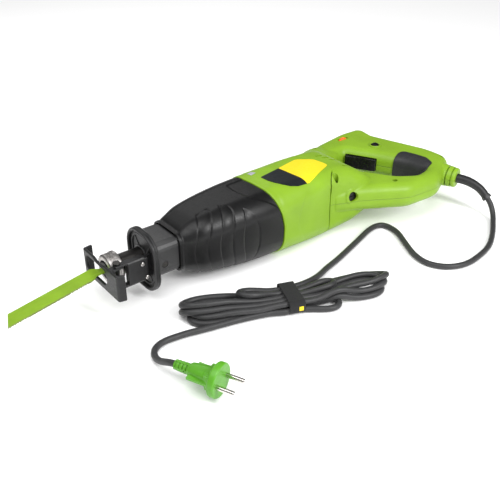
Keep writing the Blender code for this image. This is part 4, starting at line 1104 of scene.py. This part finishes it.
def decal(name, outline, mat, rise=0.35):
    """Thin patch on the housing: its outline is (x, u) along and round the skin."""
    bm = bmesh.new()
    flat = [bm.verts.new((x, u, 0)) for x, u in outline]
    bm.faces.new(flat)
    for axis, step in ((0, 3.0), (1, 1.5)):
        values = [p[axis] for p in outline]
        for at in np.arange(min(values) + step / 2, max(values), step):
            normal = Vector((1 - axis, axis, 0))
            bmesh.ops.bisect_plane(bm, geom=bm.verts[:] + bm.edges[:] + bm.faces[:],
                                   plane_co=normal * float(at), plane_no=normal)
    lower = bmesh.ops.extrude_face_region(bm, geom=bm.faces[:])["geom"]
    lower = {v for v in lower if isinstance(v, bmesh.types.BMVert)}
    for vert in bm.verts:
        x, u = vert.co.x, vert.co.y
        grow = 0.1 if vert in lower else rise
        lift = housing_lift(x, u) if x < rear_x(u) - 1.4 else 0.0
        vert.co = mm(x, *around(section_at(HOUSING, x), u, grow + lift)[:2])
    return from_bm(name, bm, mat, 40, merge=1e-7)


def add_badge():
    split = [(253.6, 11.6), (259.0, -36.4)]
    dark = [split[0], (221.5, 5.8), (220.6, 4.6), (221.6, -7.5), (224.5, -17.0), (229.0, -25.0),
            (236.0, -31.4), (246.0, -35.4), split[1]]
    yellow = [(x + 0.15, u) for x, u in split]
    yellow += [(263.0, -36.4), (270.0, -34.0), (290.0, -25.6), (307.2, -18.4), (309.4, -15.6), (309.2, -10.0),
               (306.6, 4.5), (303.0, 8.6), (290.0, 17.5), (286.0, 18.6)]
    piece(decal("badge_dark_half", dark, MAT["badge_dark"]), BODY, ("badge_dark",))
    piece(decal("badge_yellow_half", yellow, MAT["yellow"]), BODY, ("badge_yellow",))
    grey = [(213.9, 23.6), (221.0, 24.6), (223.5, 18.7), (215.0, 16.6)]
    piece(decal("grey_patch", grey, MAT["grey_label"], 0.3), BODY, ())


# ---- handle ----
DOME = [(SEAM_2, 0.0, 40.8, 43.2, 16.0), (312.0, 0.5, 43.5, 42.9, 20.0), (328.0, 1.5, 49.0, 40.6, 25.0),
        (345.0, 4.0, 54.0, 33.0, 23.0), (358.0, 6.0, 56.0, 24.5, 18.0), (368.0, 7.0, 54.0, 17.6, 13.0)]
# plan outlines: (x, y, corner radius)
HANDLE = [(SEAM_2 + 6, -43.0, 0), (334.0, -54.5, 60), (390.0, -87.0, 40), (442.0, -90.0, 40),
          (474.0, -74.0, 16), (503.0, -56.0, 20), (503.5, -22.0, 80), (477.0, 60.0, 10), (483.0, 95.0, 15),
          (440.0, 96.0, 90), (386.0, 86.0, 90), (345.0, 70.0, 60), (SEAM_2 + 6, 41.0, 0)]
SHOULDER = [(302.0, 16.0, 21.0, 36.0, 16.0), (315.0, 24.0, 24.5, 35.0, 16.0), (330.0, 33.0, 26.0, 31.0, 15.0),
            (352.0, 47.0, 25.0, 25.0, 13.0), (375.0, 58.0, 22.0, 19.5, 12.0), (392.0, 62.0, 18.0, 15.0, 10.0)]
GRIP_OPENING = [(377.0, 46.0, 14), (377.0, -10.0, 14), (402.0, -50.0, 24), (424.0, -65.0, 18),
                (450.0, -60.0, 9), (446.5, -30.0, 50), (429.0, 6.0, 120), (406.0, 48.0, 8)]
GRIP_INSERT = [(412.0, -22.0, 0), (440.0, -13.0, 10), (461.0, -8.0, 8), (467.0, -28.0, 20),
               (470.0, -44.0, 12), (463.0, -60.0, 8), (446.0, -64.0, 6), (425.0, -56.0, 0)]
GLAND = ((475.0, -58.0), (484.0, -87.5))
# (x, y, z of the recess's floor, its radius)
SCREWS = [(385.0, -64.0, 13.6, 3.4), (483.0, 10.0, 13.0, 3.0), (492.5, -51.5, 12.6, 3.0),
          (366.0, 68.0, 13.4, 3.2), (304.2, -37.3, 27.0, 4.0)]
VENTS, SLIT = [(321.5, 12.5), (326.0, 4.8), (331.0, -3.0)], (331.5, -25.5)
GLAND_AXIS = (Vector((*GLAND[1], 0)) - Vector((*GLAND[0], 0))).normalized()
GLAND_REACH = (Vector(GLAND[1]) - Vector(GLAND[0])).length


def along_gland(reach):
    """Point at reach mm beyond the gland's outer face, along its axis."""
    return Vector((*GLAND[1], 0)) + GLAND_AXIS * reach


def brush_direction(side):
    return Vector((0, side * math.cos(BRUSH_TILT), -side * math.sin(BRUSH_TILT)))


def brush_at(side, reach):
    out = brush_direction(side)
    return (BRUSH_X, out.y * reach, out.z * reach)


def rounded_outline(corners, steps=14):
    """Closed plan outline: each corner (x, y, radius) is rounded by an arc of that radius."""
    points = []
    for k, (x, y, radius) in enumerate(corners):
        here = Vector((x, y))
        to_last = Vector(corners[k - 1][:2]) - here
        to_next = Vector(corners[(k + 1) % len(corners)][:2]) - here
        if radius <= 0:
            points.append(here)
            continue
        half = to_last.angle(to_next) / 2
        reach = radius / math.tan(half)
        centre = here + (to_last.normalized() + to_next.normalized()).normalized() * radius / math.sin(half)
        start = here + to_last.normalized() * reach - centre
        sweep = start.angle_signed(here + to_next.normalized() * reach - centre)
        arc = max(3, round(steps * abs(sweep) / (math.pi / 2)))
        for n in range(arc + 1):
            t = -sweep * n / arc
            points.append(centre + Vector((start.x * math.cos(t) - start.y * math.sin(t),
                                           start.x * math.sin(t) + start.y * math.cos(t))))
    return points


def plate(name, outlines, z_low, z_high, edge=0.0, inset=0.0, resolution=6):
    """Flat plate from plan outlines (the first is the outside), its edges rounded by edge mm."""
    curve = bpy.data.curves.new(name, "CURVE")
    curve.dimensions, curve.fill_mode = "2D", "BOTH"
    curve.extrude = ((z_high - z_low) / 2 - edge) * MM
    curve.bevel_depth, curve.bevel_resolution = edge * MM, resolution
    curve.offset = -(edge + inset) * MM
    for number, outline in enumerate(outlines):
        points = outline[::-1] if number else outline
        spline = curve.splines.new("POLY")
        spline.points.add(len(points) - 1)
        for point, at in zip(spline.points, points):
            place = mm(at[0], at[1], 0)
            point.co = (place.x, place.y, 0, 1)
        spline.use_cyclic_u = True
    obj = show(name, curve)
    graph = bpy.context.evaluated_depsgraph_get()
    mesh = bpy.data.meshes.new_from_object(obj.evaluated_get(graph))
    bpy.data.objects.remove(obj)
    bm = bmesh.new()
    bm.from_mesh(mesh)
    bmesh.ops.translate(bm, vec=(0, 0, mm(0, 0, (z_low + z_high) / 2).z), verts=bm.verts)
    return from_bm(name, bm, merge=1e-5)


def loft(name, sections, inset=0.0, steps=6, count=160, slide=None):
    """Closed loft through rounded-rectangle sections."""
    xs = []
    for a, b in zip(sections, sections[1:]):
        xs += [a[0] + (b[0] - a[0]) * k / steps for k in range(steps)]
    xs.append(sections[-1][0])
    bm = bmesh.new()
    verts = bridge(bm, skin_grid(sections, xs, count, lambda x, u: -inset, slide))
    cap_ends(bm, verts)
    return from_bm(name, bm)


def handle_loop(name, inset, steps, resolution):
    """The D-shaped loop with rounded edges, drawn in by inset mm all round."""
    outlines = [rounded_outline(HANDLE, steps), rounded_outline(GRIP_OPENING, steps)]
    half = HANDLE_HALF - inset
    return plate(name, outlines, -half, half, HANDLE_ROUND - inset, inset, resolution)


def handle_outside():
    """The handle's skin: dome, D-shaped loop, cord gland, and raised rims, fused and softened."""
    dome = loft("handle_dome", DOME, count=240, slide=dome_slide)
    loop = handle_loop("handle_loop", 0.0, 14, 6)
    gland = turned("handle_gland", [(0, 0), (0, 16.0), (GLAND_REACH, 12.9), (GLAND_REACH, 0)],
                   (*GLAND[0], 0), GLAND_AXIS, radius=1.2)
    shoulder = loft("handle_shoulder", SHOULDER)
    rims = []
    for side in (-1, 1):
        rims.append(turned("brush_rim", [(0, 0), (0, 12.4), (12.0, 11.2), (18.6, 9.6), (18.6, 0)],
                           brush_at(side, 31.0), brush_direction(side), radius=0.6))
    dome.modifiers.clear()
    combine(dome, [loop, gland, shoulder] + rims, "UNION")
    return remesh(dome, 0.8, 7)


def handle_inside():
    dome = [(SEAM_2 - 4.0,) + DOME[0][1:]] + DOME[1:]
    inside = loft("handle_hollow", dome, WALL, count=64)
    loop = handle_loop("hollow_loop", WALL, 6, 2)
    neck = GLAND_REACH - 3.0
    profile = [(0, 0), (0, 9.0), (neck, 9.0), (neck, 6.4), (GLAND_REACH + 6, 6.4), (GLAND_REACH + 6, 0)]
    gland = turned("hollow_gland", profile, (*GLAND[0], 0), GLAND_AXIS, radius=0)
    shoulder = loft("hollow_shoulder", SHOULDER, WALL, count=64)
    combine(inside, [loop, gland, shoulder], "UNION")
    bosses = [cylinder("screw_boss", radius + 2.0, 40, (x, y, z - 2.5), UP, 40) for x, y, z, radius in SCREWS]
    return combine(inside, bosses)


def trigger_box(name, out, back, half, thick, **kw):
    """Box in the trigger's own directions: out mm in front of its face, back mm behind it."""
    low = (TRIGGER_MID[0] - out, TRIGGER_MID[1] - half, -thick)
    high = (TRIGGER_MID[0] + back, TRIGGER_MID[1] + half, thick)
    return box(name, low, high, turn=(*TRIGGER_MID, GRIP_LEAN), **kw)


def slot_cutter(name, x, y, length, width, z_low, z_high):
    """Round-ended slot through the shell, lying along the saw."""
    half = length / 2 - width / 2
    low, high, left, right = y - half - width / 2, y + half + width / 2, x - width / 2, x + width / 2
    corners = [(left, high), (right, high), (right, low), (left, low)]
    cutter = plate(name, [rounded_outline([(*at, width * 0.48) for at in corners], 5)], z_low, z_high)
    cutter.data.transform(turn_about((x, y), math.pi / 2))
    return cutter


def handle_cutters():
    cutters = [trigger_box("trigger_slot", 6.0, 40.0, 22.6, 9.5, bevel=1.0)]
    for side in (-1, 1):
        cutters.append(cylinder("brush_bore", 6.3, 40, brush_at(side, 30.0), brush_direction(side)))
    for x, y, z, radius in SCREWS:
        cutters.append(cylinder("screw_recess", radius, 40, (x, y, z), UP, 40))
    for x, y in VENTS:
        cutters.append(slot_cutter("vent", x, y, 12.0, 3.2, 20, 60))
    cutters.append(slot_cutter("side_slit", *SLIT, 10.0, 3.0, 8, 50))
    cutters.append(cylinder("button_bore", 5.8, 30, (*BUTTON_AT, 5.0), UP))
    cutters.append(box("dial_slot", (DIAL_AT[0] - 9.4, DIAL_AT[1] - 3.0, 6.0),
                       (DIAL_AT[0] + 9.4, DIAL_AT[1] + 3.0, 30.0), bevel=0.8))
    return cutters


def add_handle():
    handle = handle_outside()
    handle.data.materials.clear()
    handle.data.materials.append(MAT["green"])
    grooves = []
    for at in (GLAND_REACH - 13.0, GLAND_REACH - 6.0):
        grooves.append(turned("gland_groove", [(0, 11.5), (0, 16), (2.0, 16), (2.0, 11.5), (0, 11.5)],
                              Vector((*GLAND[0], 0)) + GLAND_AXIS * at, GLAND_AXIS, radius=0, segments=96))
    combine(handle, [handle_inside()] + handle_cutters() + grooves, "DIFFERENCE", 40)
    piece(handle, BODY, ("handle_left_shell", "handle_right_shell"))
    profile = [(0, 5.9), (0, 8.8), (1.6, 8.6), (3.4, 8.1), (4.1, 7.6), (4.0, 6.9), (3.2, 5.9), (0, 5.9)]
    ring = turned("button_ring", profile, (*BUTTON_AT, 15.6), UP, MAT["green"], 0.5, 80)
    piece(ring, BODY, ())


def add_grip_insert():
    """Soft rubber panel over the grip, domed a little above the shell, with a rolled edge."""
    skin, core = handle_loop("grip_panel", -1.4, 14, 8), handle_loop("grip_panel_core", 0.6, 14, 8)
    prism = plate("grip_panel_edge", [rounded_outline(GRIP_INSERT)], -12.5, 30.0)
    combine(skin, [core], "DIFFERENCE")
    combine(skin, [prism], "INTERSECT")
    skin.data.materials.clear()
    skin.data.materials.append(MAT["insert"])
    remesh(skin, 0.5, 6)
    piece(skin, BODY, ("grip_insert",))


def add_trigger():
    """Trigger with a hollowed finger face and a framed flat on its side."""
    trigger = trigger_box("trigger_moulding", 0.0, 22.0, 22.0, 8.9, bevel=1.8, segments=4)
    hollow = cylinder("finger_hollow", 60.0, 30, (TRIGGER_MID[0] - 59.2, TRIGGER_MID[1], -15.0), UP, 160)
    frame_cut = box("trigger_frame", (TRIGGER_MID[0] + 2.6, TRIGGER_MID[1] - 19.0, 8.2),
                    (TRIGGER_MID[0] + 19.5, TRIGGER_MID[1] + 19.0, 12.0), bevel=0.6,
                    turn=(*TRIGGER_MID, GRIP_LEAN))
    hollow.data.transform(turn_about(TRIGGER_MID, GRIP_LEAN))
    combine(trigger, [hollow, frame_cut], "DIFFERENCE", 40)
    trigger.data.materials.clear()
    trigger.data.materials.append(MAT["trigger"])
    bevelled(trigger, 0.35, 2, 35)
    piece(trigger, "trigger", ("trigger",))


def add_button_and_dial():
    profile = [(0, 0), (0, 5.4), (6.0, 5.4), (7.8, 4.8), (9.0, 3.2), (9.6, 0.9), (9.6, 0)]
    button = turned("button_cap", profile, (*BUTTON_AT, 12.0), UP, MAT["trigger"], 0.6, 64)
    piece(button, "lock_button", ("lock_button",))
    bm = bmesh.new()
    teeth, rings = 30, []
    for y, radius in ((-2.5, 7.6), (-2.0, 8.4), (-1.6, 8.75), (1.6, 8.75), (2.0, 8.4), (2.5, 7.6)):
        ring = []
        for k in range(teeth * 6):
            t = 2 * math.pi * k / (teeth * 6)
            grip = 0.25 * math.cos(teeth * t)
            r = radius + grip
            ring.append((DIAL_AT[0] + r * math.cos(t), DIAL_AT[1] + y, 10.4 + r * math.sin(t)))
        rings.append(ring)
    verts = bridge(bm, rings)
    cap_ends(bm, verts)
    piece(from_bm("dial_wheel", bm, MAT["orange"], 40), "speed_dial", ("speed_dial",))


# ---- cord's fittings ----
def sweep(name, route, outline, mat, angle=35.0):
    """Skin along a route: outline(share) gives the ring's (across, up) points in mm there."""
    line = catmull(route, 1.2)
    bm = bmesh.new()
    rings = []
    side = None
    for k, at in enumerate(line):
        ahead = Vector(line[min(k + 1, len(line) - 1)] - line[max(k - 1, 0)]).normalized()
        side = ahead.orthogonal() if side is None else side - ahead * side.dot(ahead)
        side.normalize()
        up = ahead.cross(side)
        share = k / (len(line) - 1)
        rings.append([tuple(Vector(at) + side * a + up * b) for a, b in outline(share)])
    verts = bridge(bm, rings)
    cap_ends(bm, verts)
    return from_bm(name, bm, mat, angle)


def add_relief():
    """Cord sleeve: thick at the gland, tapering, with a side rib and a square end."""
    route = [along_gland(-9.7), along_gland(0.0), (490.9, -101.0, -2.0), (497.2, -115.0, -8.5),
             (500.3, -128.0, -19.3)]

    def outline(share):
        radius = 6.1 - 0.7 * smoothstep(share, 0.3, 0.9)
        end = smoothstep(share, 0.915, 0.935)
        points = []
        for k in range(48):
            t = 2 * math.pi * k / 48
            c, s = math.cos(t), math.sin(t)
            square = 5.4 / max(abs(c), abs(s))
            rib = 0.5 * math.exp(-((((t - 1.1 + math.pi) % (2 * math.pi)) - math.pi) / 0.22) ** 2)
            r = (radius + rib * (1 - end)) * (1 - end) + min(square, 6.3) * end
            points.append((r * c, r * s))
        return points

    piece(sweep("relief_sleeve", route, outline, MAT["relief"], 40), BODY, ("strain_relief",))


def add_tie():
    """Hook-and-loop strap round the hank: woven band and a small yellow tab."""
    half, top, wall = 22.3, 16.4, 1.3
    turn = turn_about(HANK_MIDDLE, HANK_ANGLE)

    def ring(inset):
        points = []
        radius = 5.5 - inset
        for sy, sz, quarter in ((1, 1, 0), (-1, 1, 1), (-1, -1, 2), (1, -1, 3)):
            for k in range(9):
                t = math.pi / 2 * (quarter + k / 8)
                y = sy * (half - 5.5) + radius * math.cos(t)
                z = (top if sz > 0 else 0.05) - sz * 5.5 + radius * math.sin(t)
                points.append((HANK_MIDDLE[1] + y, FLOOR_Z + z))
        return points

    bm = bmesh.new()
    x = HANK_MIDDLE[0]
    steps = [(-8.7, wall), (-9.0, wall - 0.3), (-9.0, 0.3), (-8.7, 0.0), (8.7, 0.0), (9.0, 0.3),
             (9.0, wall - 0.3), (8.7, wall), (-8.7, wall)]
    bridge(bm, [[(x + at, y, z) for y, z in ring(inset)] for at, inset in steps])
    strap = from_bm("tie_strap", bm, MAT["strap"], 35)
    strap.data.transform(turn)
    piece(strap, BODY, ("hank_tie",))
    tab = box("tie_tab", (x + 1.5, HANK_MIDDLE[1] - half - 0.35, FLOOR_Z + 5.2),
              (x + 6.5, HANK_MIDDLE[1] - half + 0.3, FLOOR_Z + 10.6), MAT["yellow"], 0.25, 2)
    tab.data.transform(turn)
    piece(tab, BODY, ())
    return [strap.name, tab.name]


PLUG_START, PLUG_FACE = Vector((-4.0, -147.3, -25.9)), Vector((16.4, -193.3, -25.9))
PIN_R, PIN_OFF = 2.4, 9.5


def add_plug():
    """Two-pin plug: slotted relief, slim tapered body with side ribs, and a wide notched face."""
    axis = (PLUG_FACE - PLUG_START).normalized()
    reach = (PLUG_FACE - PLUG_START).length
    relief = [(0, 0), (0, 5.0)]
    for k in range(4):
        at = 1.6 + 4.0 * k
        relief += [(at, 5.2 + 0.15 * k), (at, 4.4), (at + 1.4, 4.4), (at + 1.4, 5.3 + 0.15 * k)]
    relief += [(17.6, 5.9), (17.6, 0)]
    body = [(16.8, 0), (16.8, 6.6), (17.6, 7.6), (22.0, 8.4), (reach - 14.0, 10.4), (reach - 9.0, 12.4),
            (reach - 7.4, 15.0), (reach - 7.0, 16.8), (reach - 6.0, 17.5), (reach - 1.2, 17.5), (reach, 16.6),
            (reach, 0)]
    plug = turned("plug_moulding", body, PLUG_START, axis, MAT["plug"], 0.7, 96)
    across = axis.cross(UP).normalized()
    up = across.cross(axis)
    turn = Matrix((across, up, axis)).transposed().to_4x4()
    local = Matrix.Translation(mm(*PLUG_START)) @ turn @ Matrix.Translation(-mm(0, 0, 0))

    def local_box(name, low, high, bevel=0.5):
        """Box in the plug's own directions: across, up and along it from PLUG_START."""
        obj = box(name, tuple(map(min, low, high)), tuple(map(max, low, high)), bevel=bevel)
        obj.data.transform(local)
        return obj

    sides = (-1, 1)
    cuts = [local_box("plug_notch", (side * 14.6, -3.2, reach - 9.0), (side * 21.0, 3.2, reach + 2.0))
            for side in sides]
    cuts += [local_box("plug_flat", (-30, side * 14.6, reach - 12.0), (30, side * 24.0, reach + 3.0))
             for side in sides]
    combine(plug, cuts, "DIFFERENCE", 35)
    ribs = [local_box("plug_rib", (side * 6.0, -1.6, 19.0), (side * 12.6, 1.6, reach - 6.5), 0.6)
            for side in sides]
    ribs.append(local_box("plug_step", (-9.6, -9.6, reach - 14.5), (9.6, 9.6, reach - 6.5), 1.5))
    combine(plug, ribs, "UNION", 35)
    sleeve = turned("plug_sleeve", relief, PLUG_START, axis, None, 0.25, 64)
    bridges = [local_box("plug_bridge_up", (-1.3, -5.6, 0.5), (1.3, 5.6, 17.0), 0.2),
               local_box("plug_bridge_side", (-5.6, -1.3, 0.5), (5.6, 1.3, 17.0), 0.2)]
    combine(plug, [sleeve] + bridges, "UNION", 35)
    bevelled(plug, 0.3, 2, 40)
    piece(plug, BODY, ("plug_body",))
    names = [plug.name]
    profile = [(0, 0), (0, PIN_R), (18.4, PIN_R), (19.4, 2.1), (20.2, 1.2), (20.3, 0)]
    for number, side in enumerate(sides):
        foot = PLUG_FACE + across * side * PIN_OFF - axis * 1.0
        pin = turned("plug_contact_%d" % (number + 1), profile, foot, axis, MAT["nickel"], 0.5, 40)
        piece(pin, BODY, ("plug_pin_%d" % (number + 1),))
        names.append(pin.name)
    return names


# ---- the whole saw ----
def main():
    finish_kept_nodes()
    add_blade()
    add_collar()
    add_shoe()
    add_flange()
    add_boot()
    add_gap_ring()
    add_housing()
    add_badge()
    add_handle()
    add_grip_insert()
    add_trigger()
    add_button_and_dial()
    add_relief()
    cord, length = add_cord()
    on_cord = add_tie() + add_plug()


main()
